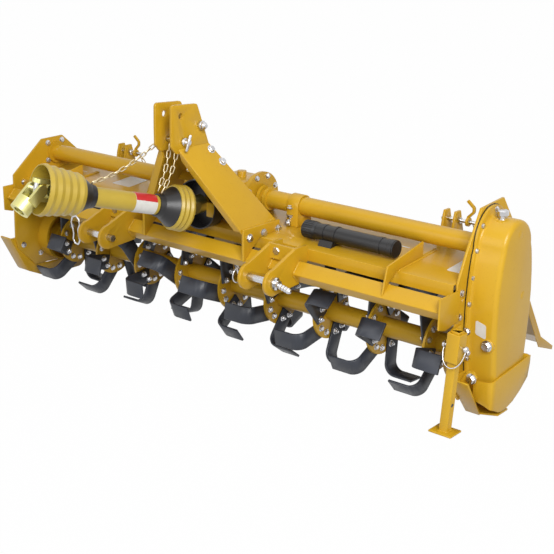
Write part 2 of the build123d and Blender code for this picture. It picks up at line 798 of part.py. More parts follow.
left_bracket_inset = 239         # from each side plate to its chain bracket
right_bracket_inset = 210
bracket_places = (left_bracket_inset - side_plate_x, side_plate_x - right_bracket_inset)
hook_x = bracket_ear_gap / 2 + 42     # beyond a bracket's middle
with BuildPart() as chain_brackets:
    for place in bracket_places:
        for ear in (-bracket_ear_gap / 2 - 4, bracket_ear_gap / 2 - 4):
            with BuildSketch(side_plane(place + ear)):
                Polygon(
                    (128, slope_height(128) + seat_gap), (142, 340), (150, 366), (176, 366),
                    (196, 300), (206, slope_height(206) + seat_gap), align=None,
                )
                with Locations((bracket_bolt_y, bracket_bolt_z)):
                    Circle(bracket_bolt_radius + seat_gap, mode=Mode.SUBTRACT)
            extrude(amount=8)
        # Hook that stands up from the end of the bolt.
        with BuildSketch(side_plane(place + hook_x - hook_bar)):
            with Locations((bracket_bolt_y, bracket_bolt_z)):
                Circle(bracket_bolt_radius + hook_bar)
                Circle(bracket_bolt_radius + seat_gap, mode=Mode.SUBTRACT)
        extrude(amount=hook_bar)
        with BuildSketch(front_plane(bracket_bolt_y + hook_bar / 2)):
            with BuildLine():
                low = (place + hook_x - hook_bar, bracket_bolt_z + bracket_bolt_radius + 3)
                FilletPolyline(
                    low, (low[0], low[1] + 8),
                    (low[0] + hook_radius, low[1] + hook_radius + 8),
                    (low[0] + hook_radius, low[1] + 2 * hook_radius),
                    (low[0] - 4, low[1] + 3 * hook_radius), radius=hook_radius / 4,
                )
                offset(amount=hook_bar, side=Side.RIGHT)
            make_face()
        extrude(amount=hook_bar)
finish(chain_brackets, "chain_brackets")

# ==== Driveline, held up in front of the gearbox ==========================
def way_to(lean, rise):
    """Unit vector forward, turned to the left by lean and upward by rise, in degrees."""
    flat = math.cos(math.radians(rise))
    return Vector(
        -math.sin(math.radians(lean)) * flat, -math.cos(math.radians(lean)) * flat,
        math.sin(math.radians(rise)),
    )


joint_point = Vector(gearbox_x, guard_back_y - joint_reach, rotor_height + input_z)
drive_way = way_to(drive_lean, drive_rise)
drive_axis = Axis(joint_point, drive_way)
drive_plane = Plane(origin=joint_point, x_dir=drive_way, z_dir=drive_way.cross(Vector(0, 0, 1)))


def bell_stations(start, stop, start_radius, stop_radius, ridges):
    """Stations of a corrugated bell that widens from start to stop."""
    stations = []
    for index in range(2 * ridges + 1):
        share = index / (2 * ridges)
        crest = bell_ridge if index % 2 else 0
        radius = start_radius + share * (stop_radius - start_radius) + crest
        stations.append((start + share * (stop - start), radius))
    return stations


# Each shell: name, its stations as (distance from the inner joint, outer radius), and its wall.
shells = (
    ("driveline_cover", [(cover_start, cover_radius), (cover_stop, cover_radius)], 4),
    ("guard_cone_right", [(102, 36), (84, 40), (46, 65), (40, 65)], 4.7),
    ("guard_cone_left", [(328, 36), (346, 40), (376, 57), (384, 57)], 4.5),
    ("guard_bell_right", bell_stations(46, -4, 68.8, 72, 3), 3.5),
    ("guard_bell_left", bell_stations(378, 507, 60.8, 77, 5), 3.5),
)
for name, stations, wall in shells:
    # A bell's inner face is smooth, so that only its first and last stations count there.
    inner_stations = [stations[0], stations[-1]] if "bell" in name else stations
    with BuildPart() as shell:
        with BuildSketch(drive_plane):
            inner = [(distance, radius - wall) for distance, radius in reversed(inner_stations)]
            Polygon(*(stations + inner), align=None)
        revolve(axis=drive_axis)
    finish(shell, name)

with BuildPart() as driveline_shaft:
    shaft_plane = Plane(origin=joint_point, z_dir=drive_way)
    shaft_start = yoke_reach + yoke_hub_length
    with BuildSketch(shaft_plane.offset(shaft_start)):
        Circle(shaft_radius)
    extrude(amount=outer_joint - 2 * shaft_start)
    for start in (cover_start + 16, cover_stop - 28):
        with BuildSketch(shaft_plane.offset(start)):
            Circle(cover_radius - 4)
        extrude(amount=10)
finish(driveline_shaft, "driveline_shaft")

# Each yoke: name, its joint's distance along the driveline, the way to its hub, a cross or not.
yokes = (
    ("yoke_gearbox", 0, Vector(0, 1, 0), True),
    ("yoke_inner", 0, drive_way, False),
    ("yoke_outer", outer_joint, drive_way * -1, False),
    ("yoke_tractor", outer_joint, way_to(yoke_lean, yoke_rise), True),
)
for name, distance, way, has_cross in yokes:
    center = joint_point + drive_way * distance
    across = Vector(0, 0, 1).cross(way).normalized()
    if not has_cross:
        across = way.cross(across)
    hub_plane = Plane(origin=center + way * yoke_reach, x_dir=across, z_dir=way)
    with BuildPart() as yoke:
        with BuildSketch(hub_plane):
            Circle(yoke_hub_radius)
        extrude(amount=yoke_hub_length)
        with BuildSketch(hub_plane):
            Rectangle(yoke_ear_span, 34)
        extrude(amount=8)
        with BuildSketch(hub_plane.offset(-yoke_reach)):
            for sign in (-1, 1):
                with Locations((sign * (yoke_ear_span / 2 - 6), 0)):
                    Rectangle(12, 34)
        extrude(amount=yoke_reach)
        for sign in (-1, 1):
            ear_plane = Plane(origin=center + across * sign * (yoke_ear_span / 2 - 12), x_dir=way,
                              z_dir=across * sign)
            with BuildSketch(ear_plane):
                Circle(17)
            extrude(amount=12)
        with BuildSketch(hub_plane.offset(-2 * yoke_reach)):
            Circle(input_radius + seat_gap)
        extrude(amount=2 * yoke_reach + yoke_hub_length, mode=Mode.SUBTRACT)
    finish(yoke, name)

with BuildPart() as joint_crosses:
    for distance, rear_way, front_way in (
        (0, Vector(0, 1, 0), drive_way),
        (outer_joint, way_to(yoke_lean, yoke_rise), drive_way * -1),
    ):
        center = joint_point + drive_way * distance
        first = Vector(0, 0, 1).cross(rear_way).normalized()
        second = front_way.cross(Vector(0, 0, 1).cross(front_way).normalized())
        for arm in (first, second):
            with BuildSketch(Plane(origin=center - arm * (yoke_ear_span / 2 - 12.3), z_dir=arm)):
                Circle(10)
            extrude(amount=yoke_ear_span - 24.6)
finish(joint_crosses, "joint_crosses")

# ==== Chains ==============================================================
def chain(route):
    """Add the links along a route, each turned a quarter from the one before it."""
    count = round(route.length / link_pitch)
    knots = [route @ (index / count) for index in range(count + 1)]
    for index, (start, stop) in enumerate(zip(knots, knots[1:])):
        way = stop - start
        across = way.cross(Vector(1, 0, 0)).normalized()
        if index % 2:
            across = way.normalized().cross(across)
        inside = way.length + link_play
        with BuildSketch(Plane(origin=(start + stop) / 2, x_dir=way, z_dir=across)) as ring:
            Rectangle(inside + 2 * link_wire, link_width)
            chamfer(ring.vertices(), link_wire)
            with BuildSketch(mode=Mode.PRIVATE) as hole:
                Rectangle(inside, link_width - 2 * link_wire)
                chamfer(hole.vertices(), link_wire / 4)
            add(hole.sketch, mode=Mode.SUBTRACT)
        extrude(ring.sketch, amount=link_wire / 2, both=True)


# A chain's first knot lies this far from the surface that the chain hangs on.
link_seat = link_wire + link_play / 2 + chain_gap
drive_top = (Vector(0, 0, 1) - drive_way * drive_way.Z).normalized()
drive_side = drive_top.cross(drive_way)


def neck_point(distance, radius, turn):
    """Knot of a chain on the driveline, turned from its top by an angle in degrees."""
    spread = math.radians(turn)
    out = drive_top * math.cos(spread) + drive_side * math.sin(spread)
    return joint_point + drive_way * distance + out * (radius + link_seat)


def pin_point(x, lean):
    """Knot of a chain under the mast's lower pin, leaning forward from straight down."""
    reach = chain_pin_radius + link_seat
    spread = math.radians(lean)
    return Vector(
        x, chain_pin_y - reach * math.sin(spread),
        rotor_height + chain_pin_z - reach * math.cos(spread),
    )


# Each hanging chain: its upper knot, its lower knot, and how far its middle sags.
hanging = (
    (pin_point(hitch_center - mast_half - 16, 60), neck_point(337, 38, 0), Vector(0, 0, -36)),
    (pin_point(hitch_center - 16, 25), neck_point(97, 38.5, -14), Vector(8, 10, -4)),
    (pin_point(hitch_center + 18, 25), neck_point(97, 38.5, 16), Vector(10, 14, -10)),
)
with BuildPart() as driveline_chains:
    for upper, lower, sag in hanging:
        chain(Bezier(upper, (upper + lower) / 2 + sag, lower))
finish(driveline_chains, "driveline_chains")

with BuildPart() as tailgate_chains:
    bolt_point = Vector(0, bracket_bolt_y, rotor_height + bracket_bolt_z)
    rod_point = Vector(0, hinge_y, rotor_height + hinge_z)
    down = (rod_point - bolt_point).normalized()
    for place in bracket_places:
        chain_x = Vector(place + hook_x + link_width, 0, 0)
        chain(Line(
            bolt_point + chain_x + down * (bracket_bolt_radius + link_seat),
            rod_point + chain_x - down * (rod_radius + link_seat),
        ))
        with BuildSketch(side_plane(place - bracket_ear_gap / 2 - 14)):
            with Locations((bracket_bolt_y, bracket_bolt_z)):
                Circle(bracket_bolt_radius)
        extrude(amount=bracket_ear_gap / 2 + 14 + hook_x + 2 * link_width)
finish(tailgate_chains, "tailgate_chains")

# ==== Write every piece about the middle of the footprint ==================
boxes = [piece.bounding_box() for piece in pieces.values()]
middle_x = (min(box.min.X for box in boxes) + max(box.max.X for box in boxes)) / 2
middle_y = (min(box.min.Y for box in boxes) + max(box.max.Y for box in boxes)) / 2
print(f"rotor middle at x {-middle_x:.2f}, y {-middle_y:.2f}")
for label, piece in pieces.items():
    piece = piece.moved(Location((-middle_x, -middle_y, 0)))
    piece.label = label
    export_step(piece, f"parts/{label}.step")
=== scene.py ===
# %% [markdown]
# # A rotary tiller in Blender
# A rotary tiller is a tined rotor under a steel hood, carried on a tractor's three-point hitch.
# The solid model arrives as a fixed frame of named nodes. This script gives those nodes their
# finishes and adds what is too small for the solids: bolts, clips, chains, labels and folds.
# The frame is loaded first, and the box of the rotor's shaft gives the rotor's middle. Nothing
# may grow past it. All places below are in millimetres from the rotor's middle, since that is how
# such a machine is measured.

# %% Load the frame
import json
import math

import bmesh
import bpy
from mathutils import Matrix, Vector


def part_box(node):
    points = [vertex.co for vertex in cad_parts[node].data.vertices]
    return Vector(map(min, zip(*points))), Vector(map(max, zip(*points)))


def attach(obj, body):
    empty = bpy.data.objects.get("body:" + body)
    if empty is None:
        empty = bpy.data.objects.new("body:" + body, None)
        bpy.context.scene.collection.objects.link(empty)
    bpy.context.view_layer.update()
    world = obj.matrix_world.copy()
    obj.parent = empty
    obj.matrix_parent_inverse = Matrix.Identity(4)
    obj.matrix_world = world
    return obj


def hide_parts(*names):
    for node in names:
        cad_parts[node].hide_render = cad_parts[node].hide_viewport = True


MM_PER_METRE = 1000

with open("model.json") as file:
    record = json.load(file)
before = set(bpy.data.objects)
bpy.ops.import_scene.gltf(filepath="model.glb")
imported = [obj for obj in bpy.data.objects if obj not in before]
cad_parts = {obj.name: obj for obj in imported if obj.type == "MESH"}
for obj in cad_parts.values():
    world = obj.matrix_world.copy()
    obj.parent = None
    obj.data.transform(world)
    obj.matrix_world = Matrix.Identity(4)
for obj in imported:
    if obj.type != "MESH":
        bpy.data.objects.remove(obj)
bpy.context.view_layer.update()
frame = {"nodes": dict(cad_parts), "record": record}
shaft_low, shaft_high = (Vector(corner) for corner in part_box("rotor_shaft"))
rotor_middle = (shaft_low + shaft_high) / 2
print("middle of the rotor:", rotor_middle)


def at(x, y, z):
    """Point in metres from millimetres counted from the rotor's middle."""
    return rotor_middle + Vector((x, y, z)) / MM_PER_METRE


# %% [markdown]
# ## Camera
# A machine two metres wide could be shot from near by with a wide lens, but its near end would
# then swell. This camera stands well back with a long lens, so the rotor's far end is hardly
# smaller than the near one. Its shift frames the machine without turning the camera.

# %% Camera
scene = bpy.context.scene
scene.view_settings.view_transform = "Standard"

SENSOR_WIDTH, LENS = 36.0, 75.892  # in millimetres
AZIMUTH, ELEVATION = math.radians(41.3), math.radians(18.7)


def add_object(name, data):
    """New object in the scene."""
    item = bpy.data.objects.new(name, data)
    scene.collection.objects.link(item)
    return item


def look(item, way):
    """Turn a camera or a lamp to look in a direction."""
    item.rotation_euler = way.to_track_quat("-Z", "Y").to_euler()


camera_data = bpy.data.cameras.new("camera")
camera_data.sensor_width = SENSOR_WIDTH
camera_data.lens = LENS
camera_data.shift_x, camera_data.shift_y = 0.0652, 0.0040
camera_data.clip_end = 100
camera = add_object("camera", camera_data)
camera.location = at(2547.6, -2874.7, 1316.1)
look(camera, Vector((
    -math.cos(ELEVATION) * math.sin(AZIMUTH),
    math.cos(ELEVATION) * math.cos(AZIMUTH),
    -math.sin(ELEVATION),
)))
scene.camera = camera


# %% [markdown]
# ## Writing nodes as expressions
# A finish is a small tree of nodes. Writing `1 - mask * 0.4` is easier to read than four
# linked boxes, so a wrapper round a socket overloads the operators and adds the Math nodes.
# Every other node comes from one method, which the Geometry Nodes trees further down use too.

# %% Value, tree and finish
class Value:
    """A socket that understands arithmetic."""

    def __init__(self, tree, socket):
        self.tree = tree
        self.socket = socket

    def output(self, name):
        """Another output of the node that this socket belongs to."""
        return Value(self.tree, self.socket.node.outputs[name])

    def math(self, operation, first, second):
        return self.tree.node("ShaderNodeMath", {"operation": operation}, i0=first, i1=second)

    def __add__(self, other):
        return self.math("ADD", self, other)

    __radd__ = __add__

    def __sub__(self, other):
        return self.math("SUBTRACT", self, other)

    def __rsub__(self, other):
        return self.math("SUBTRACT", other, self)

    def __mul__(self, other):
        return self.math("MULTIPLY", self, other)

    __rmul__ = __mul__

    def clamp(self):
        """The value, kept between 0 and 1."""
        return self.math("MINIMUM", self.math("MAXIMUM", self, 0.0), 1.0)


class Tree:
    """A tree of nodes under construction."""

    def __init__(self, tree):
        self.tree = tree
        self.tree.nodes.clear()

    def node(self, kind, settings=None, out=0, **sockets):
        """Add a node: its settings first, then values or links by a socket's name or number."""
        node = self.tree.nodes.new(kind)
        for key, item in (settings or {}).items():
            setattr(node, key, item)
        for key, item in sockets.items():
            numbered = key[0] == "i" and key[1:].isdigit()
            self.feed(node.inputs[int(key[1:]) if numbered else key.replace("_", " ")], item)
        return Value(self, node.outputs[out]) if len(node.outputs) else None

    def feed(self, socket, item):
        """Link a value to a socket, or set a plain number, colour or name on it."""
        if isinstance(item, Value):
            self.tree.links.new(item.socket, socket)
        elif isinstance(item, tuple) and len(item) == 3 and socket.type == "RGBA":
            socket.default_value = (*item, 1.0)
        else:
            socket.default_value = item

    def seen(self):
        """1 where the camera looks, directly, in gloss or through glass, and 0 for the light."""
        path = self.node("ShaderNodeLightPath")
        camera_ray, glossy_ray, clear_ray = (
            path.output(f"Is {kind} Ray") for kind in ("Camera", "Glossy", "Transmission")
        )
        return (camera_ray + glossy_ray + clear_ray).clamp()


class Finish(Tree):
    """A material under construction."""

    def __init__(self, name):
        self.material = bpy.data.materials.new(name)
        self.material.use_nodes = True
        super().__init__(self.material.node_tree)
        self.output = self.tree.nodes.new("ShaderNodeOutputMaterial")
        self.shader = self.tree.nodes.new("ShaderNodeBsdfPrincipled")
        self.tree.links.new(self.shader.outputs[0], self.output.inputs["Surface"])

    def noise(self, scale, detail=3.0, stretch=None):
        """Noise that is fixed to the piece, drawn out where a stretch is given."""
        where = self.node("ShaderNodeTexCoord", out="Object")
        if stretch:
            where = self.node("ShaderNodeMapping", Vector=where, Scale=stretch)
        return self.node("ShaderNodeTexNoise", Vector=where, Scale=scale, Detail=detail,
                         Roughness=0.55)

    def blend(self, factor, first, second):
        """Mix two colours by a factor."""
        return self.node("ShaderNodeMix", {"data_type": "RGBA"}, out=2, i0=factor, i6=first,
                         i7=second)

    def bump(self, height, strength, distance):
        return self.node("ShaderNodeBump", Height=height, Strength=strength, Distance=distance)

    def surface(self, **sockets):
        """Feed the shader's sockets and give back the material."""
        for key, item in sockets.items():
            self.feed(self.shader.inputs[key.replace("_", " ")], item)
        return self.material


def srgb(red, green, blue):
    """Linear colour from the 0 to 255 values a screen shows."""
    return tuple(
        value / 255 / 12.92 if value <= 10.31 else ((value / 255 + 0.055) / 1.055) ** 2.4
        for value in (red, green, blue)
    )


# %% [markdown]
# ## Studio
# The machine stands on a white floor that runs into a white background. Both are white only to
# the camera and in reflections. To the light itself the floor is grey and the world is dim, so
# they don't drown the shadows. Three soft lamps light the machine: a strong one from the
# gear-case end, a weak one from the front and a wide one overhead.

# %% Floor and background
WHITE = (1.0, 1.0, 1.0)
FLOOR_REACH, FLOOR_DEPTH, FLOOR_SEEN = 15, -0.0006, 0.99
FLOOR_GREY = (0.50, 0.50, 0.50)
WORLD_LIGHT = 0.18

paper = Finish("white_floor")
paper.surface(Base_Color=FLOOR_GREY, Roughness=0.9, Specular_IOR_Level=0.0)
paper.feed(paper.output.inputs["Surface"], paper.node(
    "ShaderNodeMixShader", i0=paper.seen() * FLOOR_SEEN, i1=Value(paper, paper.shader.outputs[0]),
    i2=paper.node("ShaderNodeEmission", Color=WHITE, Strength=1.0),
))
floor_mesh = bpy.data.meshes.new("studio_floor")
floor_mesh.from_pydata([
    (x * FLOOR_REACH, y * FLOOR_REACH, FLOOR_DEPTH) for x, y in ((-1, -1), (1, -1), (1, 1), (-1, 1))
], [], [(0, 1, 2, 3)])
floor_mesh.materials.append(paper.material)
floor_object = add_object("studio_floor", floor_mesh)

world = bpy.data.worlds.new("studio")
scene.world = world
world.use_nodes = True
sky = Tree(world.node_tree)
sky.node("ShaderNodeOutputWorld", Surface=sky.node(
    "ShaderNodeBackground", Color=WHITE, Strength=sky.seen() * (1 - WORLD_LIGHT) + WORLD_LIGHT,
))

# %% Lamps
# Each lamp: name, place, aim, size in metres and power in watts.
lamps = (
    ("key_lamp", at(3300, -2700, 2700), at(0, 0, 100), 2.2, 222),
    ("fill_lamp", at(-600, -4200, 1900), at(0, 0, 150), 2.4, 44),
    ("top_lamp", at(-400, 300, 4200), at(0, 0, 0), 4.0, 42),
)
for name, place, aim, size, power in lamps:
    data = bpy.data.lights.new(name, "AREA")
    data.size = size
    data.energy = power
    lamp = add_object(name, data)
    lamp.location = place
    look(lamp, aim - place)
print(len(lamps), "lamps")


# %% [markdown]
# ## Finishes
# The machine is sprayed in a glossy golden yellow over welded sheet, so the paint pools a
# little, has a faint orange peel, and carries a few darker specks. Only the tines are painted
# black. The driveline's guards are moulded plastic, and the pins and bolts are zinc plated.
# A picture could be wrapped round each piece, but noise needs no unwrapping and has no seams.
# Each finish is one function: low noise makes the slow change of tone, fine noise the grain.

# %% Paint, plastic and plating
def gold_paint():
    finish = Finish("gold_paint")
    cloud = finish.noise(3.2, 4.0)
    speck = finish.noise(160.0, 2.0)
    peel = finish.noise(230.0, 2.0)
    clear = finish.blend((cloud - 0.35) * 1.6, srgb(192, 148, 28), srgb(206, 165, 42))
    color = finish.blend((speck - 0.62).clamp() * 1.5, clear, srgb(146, 104, 12))
    return finish.surface(
        Base_Color=color, Roughness=cloud * 0.10 + 0.30, Coat_Weight=0.12, Coat_Roughness=0.08,
        Specular_IOR_Level=0.28, Normal=finish.bump(peel, 0.10, 0.0006),
    )


def tine_paint():
    finish = Finish("tine_paint")
    cloud = finish.noise(9.0, 4.0)
    grain = finish.noise(420.0, 2.0)
    color = finish.blend(cloud, srgb(34, 37, 44), srgb(54, 58, 68))
    return finish.surface(
        Base_Color=color, Roughness=cloud * 0.14 + 0.36,
        Normal=finish.bump(grain, 0.12, 0.0004),
    )


def moulded(name, dark, light, rough):
    finish = Finish(name)
    cloud = finish.noise(14.0)
    grain = finish.noise(900.0, 2.0)
    return finish.surface(
        Base_Color=finish.blend(cloud, dark, light), Roughness=cloud * 0.1 + rough,
        Normal=finish.bump(grain, 0.08, 0.0002),
    )


def plated(name, dark, light, rough):
    finish = Finish(name)
    cloud = finish.noise(40.0)
    scratch = finish.noise(300.0, 2.0, stretch=(1.0, 6.0, 6.0))
    return finish.surface(
        Base_Color=finish.blend(cloud, dark, light), Metallic=1.0, Roughness=scratch * 0.18 + rough,
        Normal=finish.bump(scratch, 0.10, 0.0002),
    )


def label_film():
    finish = Finish("label_film")
    cloud = finish.noise(60.0)
    return finish.surface(
        Base_Color=finish.blend(cloud, srgb(196, 194, 188), srgb(222, 221, 216)),
        Roughness=cloud * 0.12 + 0.30, Normal=finish.bump(cloud, 0.06, 0.0002),
    )


GOLD = gold_paint()
BLACK = tine_paint()
GUARD = moulded("guard_yellow", srgb(170, 143, 44), srgb(190, 164, 62), 0.34)
RUBBER = moulded("black_plastic", srgb(14, 14, 15), srgb(27, 26, 28), 0.34)
RED_FILM = moulded("red_film", srgb(176, 28, 32), srgb(198, 44, 44), 0.32)
ZINC = plated("zinc_plate", srgb(176, 176, 178), srgb(224, 224, 226), 0.18)
YOKE = plated("yellow_plate", srgb(196, 190, 118), srgb(232, 226, 158), 0.30)
CHAIN = plated("chain_plate", srgb(196, 178, 140), srgb(232, 218, 184), 0.24)
FILM = label_film()

# %% [markdown]
# ## Dressing the solid nodes
# A node whose shape is right only needs its finish. A table of node names per finish keeps
# that in one place, and every node not named there is painted gold.

# %% Finish of each node
node_finishes = {
    "tines_left_hand": BLACK, "tines_right_hand": BLACK,
    "driveline_cover": GUARD, "guard_bell_left": GUARD, "guard_bell_right": GUARD,
    "guard_cone_left": RUBBER, "guard_cone_right": RUBBER, "input_guard": RUBBER,
    "manual_canister": RUBBER, "mast_pins": ZINC, "hitch_pins": ZINC, "joint_crosses": ZINC,
    "driveline_shaft": ZINC, "driveline_chains": ZINC, "tailgate_chains": ZINC,
    "yoke_gearbox": YOKE, "yoke_inner": YOKE, "yoke_outer": YOKE, "yoke_tractor": YOKE,
}
for node, node_object in frame["nodes"].items():
    node_object.data.materials.clear()
    node_object.data.materials.append(node_finishes.get(node, GOLD))
print(len(frame["nodes"]), "nodes dressed")

# %% [markdown]
# ## Making small pieces
# Pins, clips, plugs and plates are small next to the frame, but without them it looks like a
# toy. They could be Blender's cylinders and cubes, moved and joined by hand. Here
# they are rings of points skinned one to the next instead, because a turned pin, a bent rod
# and a washer then differ only in where the rings lie. One class gathers the faces, turns them
# outwards, bevels the edges and hands the piece over to the body that it moves with.

# %% Baking, bevels and bodies
UP, DOWN, FRONT, REAR = (0, 0, 1), (0, 0, -1), (0, -1, 0), (0, 1, 0)
RIGHT, LEFT = (1, 0, 0), (-1, 0, 0)


def bake(item):
    """Apply an object's modifiers to its mesh."""
    bpy.context.view_layer.update()
    graph = bpy.context.evaluated_depsgraph_get()
    mesh = bpy.data.meshes.new_from_object(item.evaluated_get(graph))
    mesh.name = item.name
    item.modifiers.clear()
    item.data = mesh


def bevel(item, width, segments, angle, harden=False):
    """Round, by a width in millimetres, the edges whose faces meet at more than an angle."""
    edge = item.modifiers.new("edge", "BEVEL")
    edge.width = width / MM_PER_METRE
    edge.segments = segments
    edge.limit_method = "ANGLE"
    edge.angle_limit = math.radians(angle)
    edge.harden_normals = harden
    bake(item)


def settle(item, material, body, sharp=38, replaces=()):
    """Shade a piece, give it its finish and its body, and say what it is."""
    for face in item.data.polygons:
        face.use_smooth = True
    item.data.set_sharp_from_angle(angle=math.radians(sharp))
    item.data.materials.clear()
    item.data.materials.append(material)
    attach(item, body)
    if replaces:
        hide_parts(*replaces)
    print(item.name, "has", len(item.data.polygons), "faces and rides on the", body)
    return item


# %% Class for one piece
def circle(middle, across, other, radius, sides, spin=0.0):
    """Points round a middle, in the plane of two directions."""
    turns = [spin + math.tau * step / sides for step in range(sides)]
    return [middle + radius * (across * math.cos(turn) + other * math.sin(turn)) for turn in turns]


class Shape:
    """Faces of one piece, gathered before they become an object."""

    def __init__(self, anchored=True):
        self.mesh = bmesh.new()
        self.anchored = anchored

    def point(self, place):
        """Corner of the mesh, counted from the rotor's middle or, for a template, from zero."""
        place = Vector(place)
        return at(*place) if self.anchored else place / MM_PER_METRE

    def rings(self, rows, closed=False):
        """Skin equal rings of points; a closed row of rings joins its last to its first."""
        rows = [[self.mesh.verts.new(self.point(place)) for place in row] for row in rows]
        pairs = list(zip(rows, rows[1:]))
        if closed:
            pairs.append((rows[-1], rows[0]))
        for first, second in pairs:
            for index, corner in enumerate(first):
                after = (index + 1) % len(first)
                self.mesh.faces.new((corner, first[after], second[after], second[index]))
        if not closed:
            self.mesh.faces.new(tuple(reversed(rows[0])))
            self.mesh.faces.new(tuple(rows[-1]))

    def turned(self, profile, origin, axis, sides=20, spin=0.0):
        """Solid of revolution from (distance along the axis, radius) pairs."""
        origin = Vector(origin)
        axis = Vector(axis).normalized()
        across = axis.orthogonal().normalized()
        other = axis.cross(across)
        self.rings([
            circle(origin + axis * distance, across, other, radius, sides, spin)
            for distance, radius in profile
        ])

    def rod(self, path, radius, sides=8, closed=False):
        """Round bar along a row of points, its rings turned as little as possible."""
        path = [Vector(place) for place in path]
        count = len(path)
        ways = []
        for index in range(count):
            before = path[index - 1] if closed or index else path[index]
            after = path[(index + 1) % count] if closed or index < count - 1 else path[index]
            ways.append((after - before).normalized())
        across = ways[0].orthogonal().normalized()
        rows = []
        for place, way in zip(path, ways):
            across = (across - way * across.dot(way)).normalized()
            rows.append(circle(place, across, way.cross(across), radius, sides))
        self.rings(rows, closed)

    def slab(self, outline, origin, right, up, thickness):
        """Flat plate: an outline in a plane, as thick as given towards right x up."""
        origin, right, up = Vector(origin), Vector(right).normalized(), Vector(up).normalized()
        depth = right.cross(up) * thickness
        low = [origin + right * x + up * y for x, y in outline]
        self.rings([low, [place + depth for place in low]])

    def to_mesh(self, name):
        """Mesh with its faces turned outwards; the shape is used up."""
        bmesh.ops.recalc_face_normals(self.mesh, faces=self.mesh.faces[:])
        mesh = bpy.data.meshes.new(name)
        self.mesh.to_mesh(mesh)
        self.mesh.free()
        return mesh

    def hand_over(self, name, material, body="frame", slot="yellow_paint", edge=0.0, sharp=38,
                  replaces=()):
        """Bevel the edges where a width is given, and put the piece on its body."""
        item = add_object(name, self.to_mesh(name))
        if edge:
            bevel(item, edge, 2, sharp)
        return settle(item, material, body, sharp, replaces)


# %% [markdown]
# ## Repeats by Geometry Nodes
# The machine is bolted together with a few sizes of hexagon bolt, and its chains are one link
# many times over. An Array modifier only repeats along a line, and these lie all over the
# machine, so one tree puts a template on every point of a cloud and turns it by the heading
# stored on that point. For a bolt the heading is a direction, and a seeded random spin keeps
# the hexagons from all lying the same way. For a link it is a full turn, because two links
# only hang in each other at the right angle.

# %% Tree that copies a template onto points
SPIN_SEED = 7


def repeat_tree(name, rotation, *extra):
    """Tree of copies; rotation adds the nodes that make a copy's turn from its heading."""
    group = bpy.data.node_groups.new(name, "GeometryNodeTree")
    inputs = [("Points", "Geometry"), ("Template", "Object"), ("Size", "Float"), *extra,
              ("Finish", "Material")]
    for label, kind in inputs:
        group.interface.new_socket(label, in_out="INPUT", socket_type="NodeSocket" + kind)
    group.interface.new_socket("Copies", in_out="OUTPUT", socket_type="NodeSocketGeometry")
    tree = Tree(group)
    given = tree.node("NodeGroupInput", out="Points")
    heading = tree.node("GeometryNodeInputNamedAttribute", {"data_type": "FLOAT_VECTOR"},
                        out="Attribute", Name="heading")
    laid = tree.node(
        "GeometryNodeInstanceOnPoints", Points=tree.node("GeometryNodeMeshToPoints", Mesh=given),
        Instance=tree.node("GeometryNodeObjectInfo", out="Geometry", Object=given.output("Template")),
        Rotation=rotation(given, heading), Scale=given.output("Size"),
    )
    real = tree.node("GeometryNodeRealizeInstances", Geometry=laid)
    tree.node("NodeGroupOutput", Copies=tree.node(
        "GeometryNodeSetMaterial", Geometry=real, Material=given.output("Finish"),
    ))
    return group


def bolt_turn(given, heading):
    """The top along the heading, and a random spin about it."""
    node = given.tree.node
    aim = node("FunctionNodeAlignRotationToVector", {"axis": "Z"}, Vector=heading)
    angle = node("FunctionNodeRandomValue", {"data_type": "FLOAT"}, out=1,
                 i3=given.output("Spin"), Seed=SPIN_SEED)
    spin = node("FunctionNodeAxisAngleToRotation", Axis=UP, Angle=angle)
    return node("FunctionNodeRotateRotation", {"rotation_space": "LOCAL"}, i0=aim, i1=spin)


def link_turn(given, heading):
    """The heading read as an Euler turn."""
    return given.tree.node("FunctionNodeEulerToRotation", i0=heading)


COPIES = repeat_tree("copies_on_points", bolt_turn, ("Spin", "Float"))
LINKS = repeat_tree("links_on_path", link_turn)


def repeated(name, group, places, headings, **values):
    """Object that a tree makes from a cloud of points, with its inputs' values."""
    cloud = bpy.data.meshes.new(name)
    cloud.from_pydata(places, [], [])
    stored = cloud.attributes.new("heading", "FLOAT_VECTOR", "POINT")
    for index, heading in enumerate(headings):
        stored.data[index].vector = heading
    item = add_object(name, cloud)
    modifier = item.modifiers.new("copies", "NODES")
    modifier.node_group = group
    for socket in group.interface.items_tree:
        if socket.in_out == "INPUT" and socket.name in values:
            modifier[socket.identifier] = values[socket.name]
    bake(item)
    print(name, "is made of", len(places), "copies")
    return item


def copies(name, template, places, body="frame", size=1.0):
    """Put a zinc-plated bolt on each (place, direction) pair and make one piece of them."""
    item = repeated(
        name, COPIES, [at(*place) for place, way in places],
        [Vector(way).normalized() for place, way in places],
        Template=template, Size=size, Spin=math.tau, Finish=ZINC,
    )
    return settle(item, ZINC, body)


# %% Bolt, nut and washer templates
def bolt_template(name, across, height, washer, tail):
    """Hexagon head on a washer, or a nut with the bolt's end standing out of it."""
    shape = Shape(anchored=False)
    shape.turned([(-0.5, washer), (1.6, washer), (1.9, washer - 0.6)], (0, 0, 0), UP, 14)
    shape.turned(
        [(1.5, across), (1.5 + height - 1.2, across), (1.5 + height, across - 1.4)],
        (0, 0, 0), UP, 6,
    )
    if tail:
        end = height + tail
        shape.turned([(height, across * 0.56), (end, across * 0.56), (end + 1.2, across * 0.42)],
                     (0, 0, 0), UP, 10)
    return bpy.data.objects.new(name, shape.to_mesh(name))


HEAD_BIG = bolt_template("bolt_head_big", 10.5, 8.0, 14.0, 0)
HEAD = bolt_template("bolt_head", 8.5, 6.5, 11.0, 0)
NUT = bolt_template("nut_and_end", 8.5, 7.5, 11.0, 5.0)
NUT_BIG = bolt_template("nut_and_end_big", 11.5, 9.5, 15.0, 7.0)

